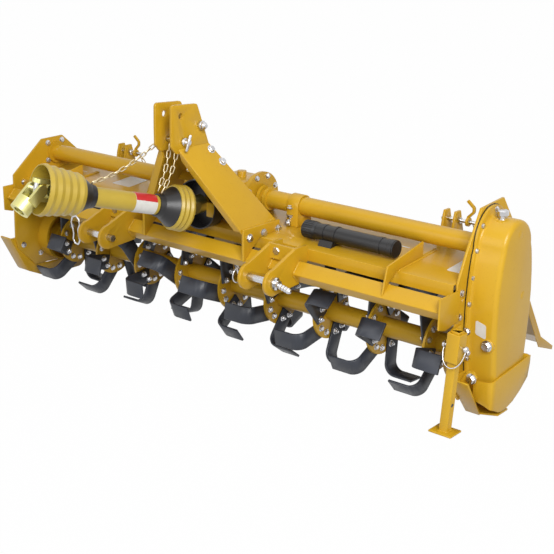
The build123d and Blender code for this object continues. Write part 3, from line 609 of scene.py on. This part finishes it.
# %% [markdown]
# ## Rotor bolts
# Six tines are bolted to each disc of the rotor, three on each face, with two bolts to a tine.
# That makes 108 bolts, too many to place by hand. Their places follow from the disc pitch and
# from the twist between discs, so a loop works them out: heads lie on the disc's face and nuts
# on the shank at its other side.

# %% Tine bolts
DISC_COUNT, DISC_PITCH, DISC_HALF, SHANK = 9, 206, 4, 8
TINES, FIRST_BLADE, DISC_TWIST = 6, 61.5, 16.3
BOLT_CIRCLE, BOLT_TURN, BOLT_SPREAD = 71, 42.5, 14
heads, nuts = [], []
for disc in range(DISC_COUNT):
    disc_x = (disc - (DISC_COUNT - 1) / 2) * DISC_PITCH
    for tine in range(TINES):
        side = 1 if tine % 2 == 0 else -1
        for spread in (-BOLT_SPREAD, BOLT_SPREAD):
            angle = math.radians(
                FIRST_BLADE + disc * DISC_TWIST + tine * 360 / TINES + BOLT_TURN + spread
            )
            y, z = -math.sin(angle) * BOLT_CIRCLE, math.cos(angle) * BOLT_CIRCLE
            nuts.append(((disc_x + side * (DISC_HALF + SHANK), y, z), (side, 0, 0)))
            heads.append(((disc_x - side * DISC_HALF, y, z), (-side, 0, 0)))
copies("tine_bolt_heads", HEAD, heads, body="rotor")
copies("tine_bolt_nuts", NUT, nuts, body="rotor")

# %% [markdown]
# ## Rolled edges on the sheet metal
# Sheared and folded sheet has no knife edges: a small round runs along each one, and it is
# there that gloss paint catches the light. Fillets in the solids would do it too, but they are
# slow to build for every edge. So each of these nodes is copied, its triangles are merged back
# into flat faces, and a Bevel modifier rounds what is left of its edges.

# %% Copy a node with rounded edges
MERGE_DISTANCE, FLAT_ANGLE, EDGE_ANGLE = 0.00002, 0.8, 32
bodies = frame["record"]["behaviour"]["bodies"]
body_of = {node: body for body, nodes in bodies.items() for node in nodes}


def rolled_edges(node, width, material=GOLD, segments=2):
    """Stand-in for a node with every edge rounded by a width in millimetres."""
    merged = bmesh.new()
    merged.from_mesh(frame["nodes"][node].data)
    bmesh.ops.remove_doubles(merged, verts=merged.verts[:], dist=MERGE_DISTANCE)
    bmesh.ops.dissolve_limit(
        merged, angle_limit=math.radians(FLAT_ANGLE), verts=merged.verts[:], edges=merged.edges[:],
    )
    name = node + "_rolled"
    mesh = bpy.data.meshes.new(name)
    merged.to_mesh(mesh)
    merged.free()
    for face in mesh.polygons:
        face.use_smooth = True
    item = add_object(name, mesh)
    bevel(item, width, segments, EDGE_ANGLE, harden=True)
    return settle(item, material, body_of[node], 180, [node])


for node, width in (
    ("mast_leg_left", 1.8), ("mast_leg_right", 1.8), ("link_plates", 1.6), ("front_beam", 3.0),
    ("beam_caps", 1.6), ("hitch_clevises", 1.6), ("side_plate_left", 1.4), ("side_plate_right", 1.4),
    ("mast_bases", 1.5), ("mast_tie", 1.2), ("stand_leg", 2.0), ("stand_sleeve", 1.8),
    ("skid_left", 1.4), ("tailgate", 1.2), ("hood_ribs", 1.4), ("tube_clamps", 1.4),
    ("chain_brackets", 1.2), ("gearbox", 2.5), ("hood", 1.2),
):
    rolled_edges(node, width)
for node in ("tines_left_hand", "tines_right_hand"):
    rolled_edges(node, 1.6, BLACK, segments=1)

# %% [markdown]
# ## Gear case
# The gear case is a pressed steel cover bolted to the side plate. The solid node has its place
# and depth, and this piece gives it the softly rounded corner and the wide rim of a pressing.
# A bevel on the solid can't make both, since they differ in size. So it is skinned from a stack
# of outlines, each the same curve grown by a margin, and the rim, the small fillet at its root
# and the large one outside follow each other. A dark strip round the rim is painted shade for
# the shadow gap between the case and the side plate.

# %% Outline of the pressing
CASE_MIDDLE, CASE_TOP, CASE_BEND, CASE_STEPS = 18, 340, 80, 20
PLATE_FACE, CASE_FACE = 959, 1055
# Half width of the lower part at a few heights: height, half width.
CASE_LOW = (
    (-128, 46), (-119, 62), (-100, 76), (-70, 84), (-36, 88), (0, 93), (60, 99), (110, 103),
    (190, 104), (225, 101), (253, 98.5), (290, 93), (320, 87),
)


def case_half(height):
    """Half width of the case's lower part at a height."""
    for (low, half), (high, other) in zip(CASE_LOW, CASE_LOW[1:]):
        if low <= height <= high:
            return half + (other - half) * (height - low) / (high - low)
    return CASE_BEND


def case_outline(margin, lift):
    """Outline of the case in the side plane, from low front over the top to low rear."""
    side = [(half + margin, z) for z, half in CASE_LOW]
    front = [(CASE_MIDDLE - half, z) for half, z in side]
    rear = [(CASE_MIDDLE + half, z) for half, z in reversed(side)]
    radius = CASE_BEND + margin
    bend = [
        (
            CASE_MIDDLE - radius * math.cos(math.pi * step / CASE_STEPS),
            CASE_TOP + (radius + lift) * math.sin(math.pi * step / CASE_STEPS),
        )
        for step in range(CASE_STEPS + 1)
    ]
    return front + bend + rear


# Each ring: distance of the outline from the rotor's middle along X, its margin, its lift.
case_rings = (
    (959.4, 12, 19), (968, 12, 19), (969, 11, 19), (969.3, 5, 8), (971, 2.4, 3), (976, 0.6, 0),
    (984, 0, 0), (1041, 0, 0), (1046, -1.2, 0), (1050.5, -4.2, 0), (1053.6, -8.6, 0),
    (CASE_FACE, -14, 0),
)
case = Shape()
case.rings([[(x, y, z) for y, z in case_outline(margin, lift)] for x, margin, lift in case_rings])
case.hand_over("gear_case_cover", GOLD, sharp=44, replaces=["gear_case"])

# A dark strip round the rim, a little proud of the plate, is painted shade for the shadow gap between
# the case and the side plate.
rim_shadow_strip = Shape()
rim_shadow_strip.rings([[(x, y, z) for y, z in case_outline(13.2, 20.2)] for x in (959.2, 962.2)])
rim_shadow_strip.hand_over("gear_case_gasket", RUBBER, slot="black_plastic")

# %% Rim bolts, plugs and pressed marks
RIM_FACE = 969
rim_places = [(-44, 402), (-68, 334), (-80, 256), (-92, 181), (-94, 98), (-84, 12)]
rim_bolts = [((RIM_FACE, y, z), RIGHT) for y, z in rim_places]
rim_bolts += [((RIM_FACE, 2 * CASE_MIDDLE - y, z), RIGHT) for y, z in rim_places]
rim_bolts.append(((RIM_FACE, 28.7, 437), RIGHT))
copies("gear_case_bolts", HEAD, rim_bolts, size=0.8)

plug = Shape()
plug.turned([(0, 15), (4, 15), (4.4, 11), (13, 11), (13.4, 13), (15, 16.5), (27, 16.5), (29.5, 13)],
            (1001, 10, 414), UP, 24)
plug.hand_over("filler_plug", ZINC, slot="zinc")
boss = Shape()
boss.turned([(-4, 24), (1.2, 24), (2.6, 22), (3, 15)], (1001, 10, 413), UP, 32)
boss.turned([(-6, 21), (4, 21), (5.5, 19.5), (6, 14)], (1031, -80, 66), FRONT, 32)
boss.hand_over("plug_bosses", GOLD)
copies("oil_plug", HEAD_BIG, [((1031, -85, 66), FRONT)], size=1.25)

mark = Shape()
for y, z in ((22, 378), (64, 186)):
    mark.turned([(-1, 12), (0.5, 12), (0.9, 10)], (CASE_FACE, y, z), RIGHT, 28)
mark.hand_over("pressed_marks", GOLD)

# %% [markdown]
# ## Skid shoe under the gear case
# The shoe is bent from one thick sheet: an outer wall beside the case, a short front wall, and
# a sloping plate that rides over clods, with an upstanding tab bolted through. A folded plane
# with a Solidify modifier would do for the flats, but its wall would thin in the tight bend.
# The bent wall is skinned from stations along the bend instead, and the flat parts are
# outlines as thick as the sheet.

# %% Shoe walls
SHOE_INNER, SHOE_SHEET = 959.4, 6
# Each station of the bent wall: outer x, outer y, inner x, inner y, lower and upper edge.
wall = (
    (997, -88, 997, -82, -106, -51), (1010, -88, 1010, -82, -113, -49),
    (1042, -88, 1042, -82, -122, -44), (1052, -88, 1050, -82, -126, -42),
    (1058, -85.5, 1053.5, -80, -128, -41), (1061, -79, 1055.2, -76, -130, -40),
    (1061, -65, 1055.2, -65, -136, -38), (1061, -46, 1055.2, -46, -146, -36),
    (1061, -27, 1055.2, -27, -151, -34), (1061, 4, 1055.2, 4, -150, -32),
    (1061, 40, 1055.2, 40, -141, -29), (1061, 84, 1055.2, 84, -118, -25),
    (1061, 123, 1055.2, 123, -89, -21), (1061, 134, 1055.2, 134, -40, -20),
)
# Each flat part: its outline, then the origin, right and up of the plane that it lies in.
shoe_flats = (
    ("rear wall", [(SHOE_INNER, 0), (1057, 8), (1057, -66), (SHOE_INNER, -66)],
     (0, 128, -24), RIGHT, (0, 0.05, 1)),
    ("front slope", [(SHOE_INNER, 0), (1007, 0), (1021, 172), (SHOE_INNER, 172)],
     (0, -50, -166), RIGHT, (0, -106, 136)),
    ("sole", [(SHOE_INNER, -54), (1007, -54), (1054, -30), (1054, 28), (SHOE_INNER, 60)],
     (0, 0, -167), RIGHT, REAR),
    ("tab", [(968, -51), (994, -11), (1013, -10), (1024, -26), (1013, -44), (992, -52)],
     (0, -110, 0), RIGHT, UP),
    ("inner wall", [(-156, -40), (-104, -30), (126, -30), (126, -96), (60, -150), (-50, -166)],
     (SHOE_INNER, 0, 0), REAR, UP),
)
shoe = Shape()
shoe.rings([
    [(out_x, out_y, low), (out_x, out_y, high), (in_x, in_y, high), (in_x, in_y, low)]
    for out_x, out_y, in_x, in_y, low, high in wall
])
for part, outline, origin, right, up in shoe_flats:
    shoe.slab(outline, origin, right, up, SHOE_SHEET)
    print("shoe's", part, "has", len(outline), "corners")
shoe.hand_over("gear_side_shoe", GOLD, edge=1.6, replaces=["skid_right"])
copies("shoe_bolt", HEAD_BIG, [((1006, -116, -33), FRONT)], size=1.2)

# %% [markdown]
# ## Frame bolts and blank plates
# The side plates are bolted to the frame and to the bearings, so their bolts are listed by place
# and made in one go, with a head on each face of the left plate. The hood also carries four data
# plates and the gear case one. They could be painted into the material, but a thin film with its
# own edge catches the light as a real one does. They are left blank, with their corners cut off.

# %% Bolts of the side plates
LEFT_INNER, LEFT_OUTER = -951, -959
right_places = [(-118.7, 218.6), (-126.4, 148.3), (-126, 84), (60, -40), (160, 0), (180, 200)]
left_places = [
    (-25.5, 366.8), (45, 368.8), (-26.9, 299.9), (45, 300), (-152.2, 235.3), (-170.1, -11.1),
    (-90, -60), (60, -80), (160, 60), (200, 200),
]
plate_bolts = [((PLATE_FACE, y, z), RIGHT) for y, z in right_places]
for y, z in left_places:
    plate_bolts += [((LEFT_INNER, y, z), RIGHT), ((LEFT_OUTER, y, z), LEFT)]
copies("side_plate_bolts", HEAD, plate_bolts, size=1.05)

# %% Blank plates
CORNER_CUT = 4


def plate_film(name, corners, lift):
    """Thin film on four corners that run round in order, lifted off the surface."""
    corners = [Vector(corner) for corner in corners]
    normal = (corners[1] - corners[0]).cross(corners[3] - corners[0]).normalized()
    cut = []
    for index, corner in enumerate(corners):
        for neighbour in (corners[index - 1], corners[(index + 1) % 4]):
            cut.append(corner + (neighbour - corner).normalized() * CORNER_CUT)
    film = Shape()
    film.rings([cut, [place + normal * lift for place in cut]])
    return film.hand_over(name, FILM, slot=None, sharp=30)


HOOD_FRONT, HOOD_RIDGE, HOOD_REAR = (-155, 250), (95, 270), (205, 240)  # y and z of each fold


def on_hood(y):
    """Height of the hood's top sheet, which rises to its ridge and then falls."""
    start, end = (HOOD_FRONT, HOOD_RIDGE) if y <= HOOD_RIDGE[0] else (HOOD_RIDGE, HOOD_REAR)
    return start[1] + (y - start[0]) / (end[0] - start[0]) * (end[1] - start[1])


# Each plate on the hood: its middle's x and y, its width and its depth.
for index, (x, y, width, depth) in enumerate((
    (-840, 82, 84, 96), (-560, 40, 92, 104), (655, 70, 64, 100), (905, -20, 60, 100),
)):
    left, right, front, rear = x - width / 2, x + width / 2, y - depth / 2, y + depth / 2
    plate_film(f"blank_plate_{index}", [
        (left, front, on_hood(front)), (right, front, on_hood(front)),
        (right, rear, on_hood(rear)), (left, rear, on_hood(rear)),
    ], 0.7)

plate_film("blank_plate_case", [
    (x, CASE_MIDDLE - case_half(z), z) for x, z in ((991, 136), (991, 93), (1025, 83), (1025, 126))
], 0.9)

# %% [markdown]
# ## Parking stand
# The stand's leg is locked in its sleeve by a cross pin. A spring wire runs from one end of
# the pin round the sleeve to the other, so that the pin can't shake out. A curve with a round
# bevel would give the same wire, and a rod along computed points needs no conversion. The
# points are a half ellipse that hangs from the pin's two ends and bows to the front.

# %% Locking pin and wire
pin_left, pin_right, pin_y, pin_z = 955.0, 1030.0, -192.0, 86.0
WIRE_HALF, WIRE_BOW, WIRE_DROP, WIRE_STEPS = 35, 26, 56, 24
lock = Shape()
lock.turned([(0, 5.4), (1, 6), (pin_right - pin_left, 6)], (pin_left, pin_y, pin_z), RIGHT, 16)
lock.turned([(0, 6), (1, 9), (6, 9.5), (9, 7), (10, 4)], (pin_right - 8, pin_y, pin_z), RIGHT, 16)
lock.turned([(0, 4), (1.5, 8.5), (8, 9), (9.5, 7)], (pin_left - 3, pin_y, pin_z), RIGHT, 16)
wire = []
for step in range(WIRE_STEPS + 1):
    turn = math.pi * step / WIRE_STEPS
    wire.append((
        (pin_left + pin_right) / 2 - WIRE_HALF * math.cos(turn),
        pin_y - WIRE_BOW * math.sin(turn) ** 0.7,
        pin_z - WIRE_DROP * math.sin(turn) ** 0.8,
    ))
lock.rod(wire, 1.7, 8)
lock.hand_over("stand_pin", ZINC, slot="zinc", sharp=50)

# %% Painted shade of the leg's lower hole, and the bracket's bolts
# The leg slides along leg_way. leg_face is the way that its outer side looks, and a thin dark disc
# on that side is painted shade for the inside of the leg's lower hole.
leg_way, leg_face = Vector((0.069756, 0, 0.997564)), Vector((0.997564, 0, -0.069756))
LEG_TOP, HOLE_DROP, LEG_HALF = Vector((996, pin_y, 130)), 223.5, 13.5
bore_shade = Shape()
bore_shade.turned([(-1.2, 6), (0.05, 6), (0.1, 5.4)], LEG_TOP - leg_way * HOLE_DROP + leg_face * LEG_HALF,
            leg_face, 20)
bore_shade.hand_over("stand_leg_bore", RUBBER, body="stand", slot="black_plastic")
copies("stand_bracket_bolts", HEAD, [((997, -142, 119), FRONT), ((1001, -142, 56), FRONT)])

# %% [markdown]
# ## Chains
# Two kinds of chain hang on the machine: light ones keep the driveline's guard from turning,
# and two more hold the tailgate. A link is one closed loop of wire with straight sides, and
# every second link is turned a quarter about the chain. A Curve modifier would bend the links
# themselves, so their places are measured out along a path and each link stays rigid. That
# keeps the pitch the same where the chain is steep and where it is flat.

# %% One link
LINK_PITCH, LINK_WIRE, LINK_WIDTH, BEND_STEPS = 22.0, 1.9, 14.0, 5
straight = (LINK_PITCH - LINK_WIDTH + 4 * LINK_WIRE) / 2
half = LINK_WIDTH / 2 - LINK_WIRE
loop = []
for end in (1, -1):
    for step in range(BEND_STEPS + 1):
        turn = math.pi * step / BEND_STEPS
        loop.append((end * half * math.cos(turn), 0, end * (straight + half * math.sin(turn))))
link = Shape(anchored=False)
link.rod(loop, LINK_WIRE, 6, closed=True)
LINK = bpy.data.objects.new("chain_link", link.to_mesh("chain_link"))

# %% Links along a path
PATH_STEPS = 200


def chain(name, paths, first_turn=0.0, replaces=()):
    """Links along each path, a function from 0 to 1, as one piece."""
    places, turns = [], []
    for path in paths:
        fine = [Vector(path(step / PATH_STEPS)) for step in range(PATH_STEPS + 1)]
        run = [0.0]
        for before, after in zip(fine, fine[1:]):
            run.append(run[-1] + (after - before).length)
        count = max(2, round(run[-1] / LINK_PITCH))
        for index in range(count):
            wanted = run[-1] * (index + 0.5) / count
            near = next(step for step, length in enumerate(run) if length >= wanted)
            way = (fine[min(near + 3, PATH_STEPS)] - fine[max(near - 3, 0)]).normalized()
            side = Vector(RIGHT if abs(way.x) < 0.8 else FRONT)
            across = (side - way * way.dot(side)).normalized()
            along_path = Matrix((across, way.cross(across), way)).transposed()
            quarter = Matrix.Rotation(first_turn + math.pi / 2 * (index % 2), 3, "Z")
            places.append(at(*fine[near]))
            turns.append((along_path @ quarter).to_euler())
    item = repeated(name, LINKS, places, turns, Template=LINK, Size=1.0, Finish=CHAIN)
    return settle(item, CHAIN, "frame", 60, replaces)


def sagging(start, end, sag=(0, 0, 0)):
    """Path that hangs between two points."""
    middle = (start + end) / 2 + Vector(sag)
    return lambda t: start * (1 - t) ** 2 + middle * 2 * t * (1 - t) + end * t ** 2


# %% Driveline chains
# The driveline leans to the left and rises to the front from the gearbox's joint.
DRIVE_JOINT = Vector((14, -275, 329))
DRIVE_LEAN, DRIVE_RISE = math.radians(15.3), math.radians(15.0)
MAST_PIN_Y, MAST_PIN_Z, HANG_RADIUS = -306, 557, 12.9
drive_way = Vector((
    -math.sin(DRIVE_LEAN) * math.cos(DRIVE_RISE), -math.cos(DRIVE_LEAN) * math.cos(DRIVE_RISE),
    math.sin(DRIVE_RISE),
))
drive_top = (Vector(UP) - drive_way * drive_way.z).normalized()
drive_side = drive_top.cross(drive_way)


def neck_point(distance, radius, turn):
    """Point on the driveline's guard, turned in degrees from its top."""
    turn = math.radians(turn)
    return DRIVE_JOINT + drive_way * distance + radius * (
        drive_top * math.cos(turn) + drive_side * math.sin(turn)
    )


def pin_point(x, lean):
    """Point on the chain pin's side, turned in degrees from its underside."""
    lean = math.radians(lean)
    return Vector((
        x, MAST_PIN_Y - HANG_RADIUS * math.sin(lean), MAST_PIN_Z - HANG_RADIUS * math.cos(lean),
    ))


chain("guard_chains", [
    sagging(pin_point(-42, 60), neck_point(337, 42.9, 0), (0, 0, -36)),
    sagging(pin_point(-2, 25), neck_point(97, 43.4, -14), (8, 10, -4)),
    sagging(pin_point(32, 25), neck_point(97, 43.4, 16), (10, 14, -10)),
], first_turn=math.pi / 4, replaces=["driveline_chains"])

# %% Tailgate chains
GATE_BOLT, GATE_ROD, BRACKETS, BRACKET_HALF = (165, 338), (304, 126), (-716, 745), 76
gate_paths, gate_bolts = [], Shape()
for bracket in BRACKETS:
    top = Vector((bracket + BRACKET_HALF, *GATE_BOLT))
    foot = Vector((bracket + BRACKET_HALF, *GATE_ROD))
    way = (foot - top).normalized()
    gate_paths.append(sagging(top + way * 4, foot - way * 4))
    head = (bracket - 33, *GATE_BOLT)
    gate_bolts.turned([(0, 6), (124, 6)], head, RIGHT, 12)
    gate_bolts.turned([(0, 10.5), (7, 10.5), (8, 9)], head, RIGHT, 6)
    gate_bolts.turned([(0, 10), (8, 10)], (bracket + 24, *GATE_BOLT), RIGHT, 6)
gate_bolts.hand_over("tailgate_chain_bolts", ZINC, slot="zinc")
chain("gate_chains", gate_paths, replaces=["tailgate_chains"])

# %% [markdown]
# ## Hitch pins and their keepers
# Each hitch pin carries what a hand or a tractor's link needs: a T-handle to draw the mast
# pin, a ribbed grip on the right lower pin with a ring through its end, and a wire hairpin
# that keeps the left one. On the real machine all are turned or bent from bar, so here they are
# turned shapes and rods too, which keeps the list of numbers close to a workshop drawing.

# %% Mast pin handle, spacer bolt and the bolts of the A-frame
SPACER = (54, -230, 598)
keepers = Shape()
keepers.turned([(0, 9), (2, 13), (8, 13), (10, 9), (24, 8)], (54, MAST_PIN_Y, MAST_PIN_Z),
               RIGHT, 16)
keepers.turned([(0, 3), (1.5, 5), (52, 5), (53.5, 3)], (75, -316, 530), (0.1, 0.28, 1), 12)
keepers.turned([(0, 10), (8, 10), (9, 8), (26, 8)], (24, MAST_PIN_Y, MAST_PIN_Z), RIGHT, 14)
keepers.turned([(0, 16), (11, 16), (12, 14)], SPACER, RIGHT, 6, spin=0.3)
keepers.turned([(12, 12), (19, 12), (21, 8), (26, 7)], SPACER, RIGHT, 16)
keepers.hand_over("mast_pin_handle", ZINC, slot="zinc", edge=0.4, sharp=40)

# The mast stands HITCH_X right of the rotor's middle, and its left bolts mirror its right ones.
HITCH_X = 14
right_bolts = [((68, -196, 517), (0.81, 0, 0.58)), ((97, -175, 478), (0.81, 0, 0.58))]
left_bolts = [((2 * HITCH_X - x, y, z), (-way[0], way[1], way[2])) for (x, y, z), way in right_bolts]
base_bolts = []
for y, z in ((-209, 260), (-141, 262), (-69, 261)):
    base_bolts += [((242, y, z), RIGHT), ((2 * HITCH_X - 242, y, z), LEFT)]
copies("mast_bolts", HEAD_BIG, right_bolts + left_bolts + base_bolts)

# %% Lower pins
LOWER_PIN_Y, GRIP_RIBS, RING_RADIUS, RING_STEPS = -318, 5, 23, 28
grip = Shape()
ribs = [(0, 8)]
for rib in range(GRIP_RIBS):
    ribs += [(8 + rib * 10, 8), (10 + rib * 10, 9.4), (14 + rib * 10, 9.4), (16 + rib * 10, 8)]
grip.turned(ribs + [(60, 7), (62, 4)], (438, LOWER_PIN_Y, 181), (0.97, 0, -0.22), 14)
grip.turned([(0, 4), (1.5, 6.5), (38, 6.5), (39.5, 4)], (441, LOWER_PIN_Y, 161), UP, 12)
ring_turns = [math.tau * step / RING_STEPS for step in range(RING_STEPS)]
grip.rod([
    (289, LOWER_PIN_Y + RING_RADIUS * math.cos(turn), 175 + RING_RADIUS * math.sin(turn))
    for turn in ring_turns
], 2.3, 8, closed=True)
grip.turned([(0, 4.5), (48, 4.5)], (292, -306, 155), (0, -0.4, 1), 10)
# The hairpin is bent in one plane: x and z of its corners.
hairpin = (
    (-430, 220), (-446, 231), (-465, 224), (-471, 205), (-464, 185), (-460, 166), (-464, 146),
    (-455, 131), (-440, 130), (-430, 145), (-436, 165), (-438, 184), (-428, 202),
)
grip.rod([(x, -330, z) for x, z in hairpin], 3.2, 8, closed=True)
grip.hand_over("lower_pin_keepers", ZINC, slot="zinc", sharp=50)
copies("clevis_bolts", HEAD_BIG, [((x, -209, 243), FRONT) for x in (358, -370)], size=1.25)

# %% Bolts of the tube clamps and the gearbox
TUBE_Y, TUBE_Z, COVER_RADIUS, COVER_BOLTS = 14, 327, 72, 8
clamp_heads, clamp_nuts = [], []
for x in (253, -271):
    clamp_heads.append(((x, -18, 322), UP))
    clamp_nuts += [((x, -18, 300), DOWN), ((x - 4, -20, 272), FRONT)]
copies("clamp_bolts", HEAD_BIG, clamp_heads)
copies("clamp_nuts", NUT_BIG, clamp_nuts)
cover_bolts = []
for step in range(COVER_BOLTS):
    turn = math.tau * (step + 0.5) / COVER_BOLTS
    y, z = TUBE_Y + COVER_RADIUS * math.cos(turn), TUBE_Z + COVER_RADIUS * math.sin(turn)
    cover_bolts.append(((104, y, z), RIGHT))
copies("gearbox_bolts", HEAD, cover_bolts, size=0.9)

# %% [markdown]
# ## Driveline label and gearbox front
# A film runs round the driveline's tube, left white with a plain red band. A flat plate shrunk
# onto the tube would do, but the tube's axis is known. So the film is skinned as a part of a
# thin ring about that axis, from the same joint and direction as the chains. The square block
# beside it stands on the front of the gearbox.

# %% Film round the tube
FILM_THICKNESS, FILM_STEPS = 0.5, 24


def tube_film(name, start, end, first_turn, last_turn, radius, material):
    """Thin patch on the tube between two distances and two turns in degrees."""
    rows = []
    for step in range(FILM_STEPS + 1):
        turn = first_turn + (last_turn - first_turn) * step / FILM_STEPS
        rows.append([
            neck_point(distance, radius + lift, turn)
            for distance, lift in ((end, 0), (end, FILM_THICKNESS), (start, FILM_THICKNESS), (start, 0))
        ])
    film = Shape()
    film.rings(rows)
    return film.hand_over(name, material, slot=None, sharp=40)


tube_film("blank_tube_film", 112, 190, -12, 168, 31.1, FILM)
tube_film("red_tube_band", 112.5, 189.5, -11, 66, 31.7, RED_FILM)

block = Shape()
block.slab([(41, 290), (77, 290), (77, 338), (41, 338)], (0, -186, 0), RIGHT, UP, 6)
block.hand_over("gearbox_front_block", GOLD, edge=1.5)

# %% [markdown]
# ## Canister for the manual
# The canister is a plastic tube with a ribbed screw cap at one end and a plain one at the
# other, held by two straps. The ribs could be a bump in the material, but they show at the
# cap's outline. So the caps are turned shapes, and the grip ribs are thin rods round the cap
# that stand a little proud of it.

# %% Caps, grip ribs and straps
CANISTER_Y, CANISTER_Z = -85, 290
CAP_RADIUS, CAP_RIBS, STRAP_STEPS = 28, 24, 24
# Each turned piece: where it starts, and its profile of (distance, radius) pairs.
cap_profiles = (
    (368.5, [(0, 20), (1, 26), (2.5, CAP_RADIUS), (46, CAP_RADIUS), (48, 26.6), (52, 26.6)]),
    (490, [(0, 26.4), (1, 28.2), (7, 28.2), (8, 26.4)]),
    (690.5, [(0, 26.4), (1.5, 27.6), (17, 27.6), (18.5, 25), (19, 18)]),
)
caps = Shape()
for x, profile in cap_profiles:
    caps.turned(profile, (x, CANISTER_Y, CANISTER_Z), RIGHT, 36)
for rib in range(CAP_RIBS):
    turn = math.tau * rib / CAP_RIBS
    y, z = CANISTER_Y + CAP_RADIUS * math.cos(turn), CANISTER_Z + CAP_RADIUS * math.sin(turn)
    caps.rod([(374, y, z), (411, y, z)], 1.2, 6)
caps.hand_over("canister_caps", RUBBER, slot="black_plastic")

# A strap's section is four (along, radius) corners, carried round from its first turn.
STRAP_SECTION = ((0, 26.2), (14, 26.2), (14, 27.4), (0, 27.4))
STRAP_START, STRAP_SWEEP = -50, 280
straps = Shape()
for x in (440, 650):
    rows = []
    for step in range(STRAP_STEPS + 1):
        turn = math.radians(STRAP_START + STRAP_SWEEP * step / STRAP_STEPS)
        rows.append([
            (x + along, CANISTER_Y + radius * math.cos(turn), CANISTER_Z + radius * math.sin(turn))
            for along, radius in STRAP_SECTION
        ])
    straps.rings(rows)
straps.hand_over("canister_straps", RUBBER, slot="black_plastic")

# %% [markdown]
# ## Weld beads
# The hitch ears, the ribs and the side plates are welded to the beam, the hood and the drive
# tube, and the beads stay visible through the paint. A noisy bump would blur them. A bead is
# really a rod whose radius swells at each ripple of the weld pool, so it is skinned from rings
# whose size follows a rectified sine along the seam.

# %% Beads along the seams
BEAD_STEP, RIPPLE_TURN, RIPPLE_HEIGHT = 1.5, 1.05, 0.7
BEAM_Y, BEAM_Z, BEAM_REACH = -196, 187, 35.4


def bead(shape, start, end, size=3.4):
    """Weld bead from start to end, with a ripple every 4.5 mm and thin ends."""
    start, end = Vector(start), Vector(end)
    seam = end - start
    count = max(6, int(seam.length / BEAD_STEP))
    profile = []
    for step in range(count + 1):
        ripple = abs(math.sin(step * RIPPLE_TURN)) * RIPPLE_HEIGHT
        edge = min(1.0, 0.4 + min(step, count - step) * 0.3)
        profile.append((seam.length * step / count, (size + ripple) * edge))
    shape.turned(profile, start, seam, 7)


beads = Shape()
front, top, foot = BEAM_Y - 33, BEAM_Z + BEAM_REACH, BEAM_Z - BEAM_REACH
for clevis in (378, -350):
    for ear in (-57, 57, -42, 42):
        x = clevis + ear
        bead(beads, (x, front, BEAM_Z + 1), (x, BEAM_Y - 2, top - 2))
        bead(beads, (x, front, BEAM_Z - 1), (x, BEAM_Y - 6, foot + 6))
for rib in (-760, 760):
    for x in (rib - 4.5, rib + 4.5):
        bead(beads, (x, BEAM_Y - 2, top - 1), (x, BEAM_Y + 30, BEAM_Z + 6))
        bead(beads, (x, -150, 251), (x, 60, 268), 2.6)
# Each end: the side plate's face and the way to the machine's middle.
for plate, way in ((951, -1), (-951, 1)):
    x = plate + way * 1.5
    bead(beads, (x, front, BEAM_Z), (x, BEAM_Y, BEAM_Z + 33))
    beads.turned([(0, 33), (1, 36), (4, 34.5), (6, 30)], (plate, TUBE_Y, TUBE_Z), (way, 0, 0), 40)
beads.hand_over("weld_beads", GOLD, sharp=60)
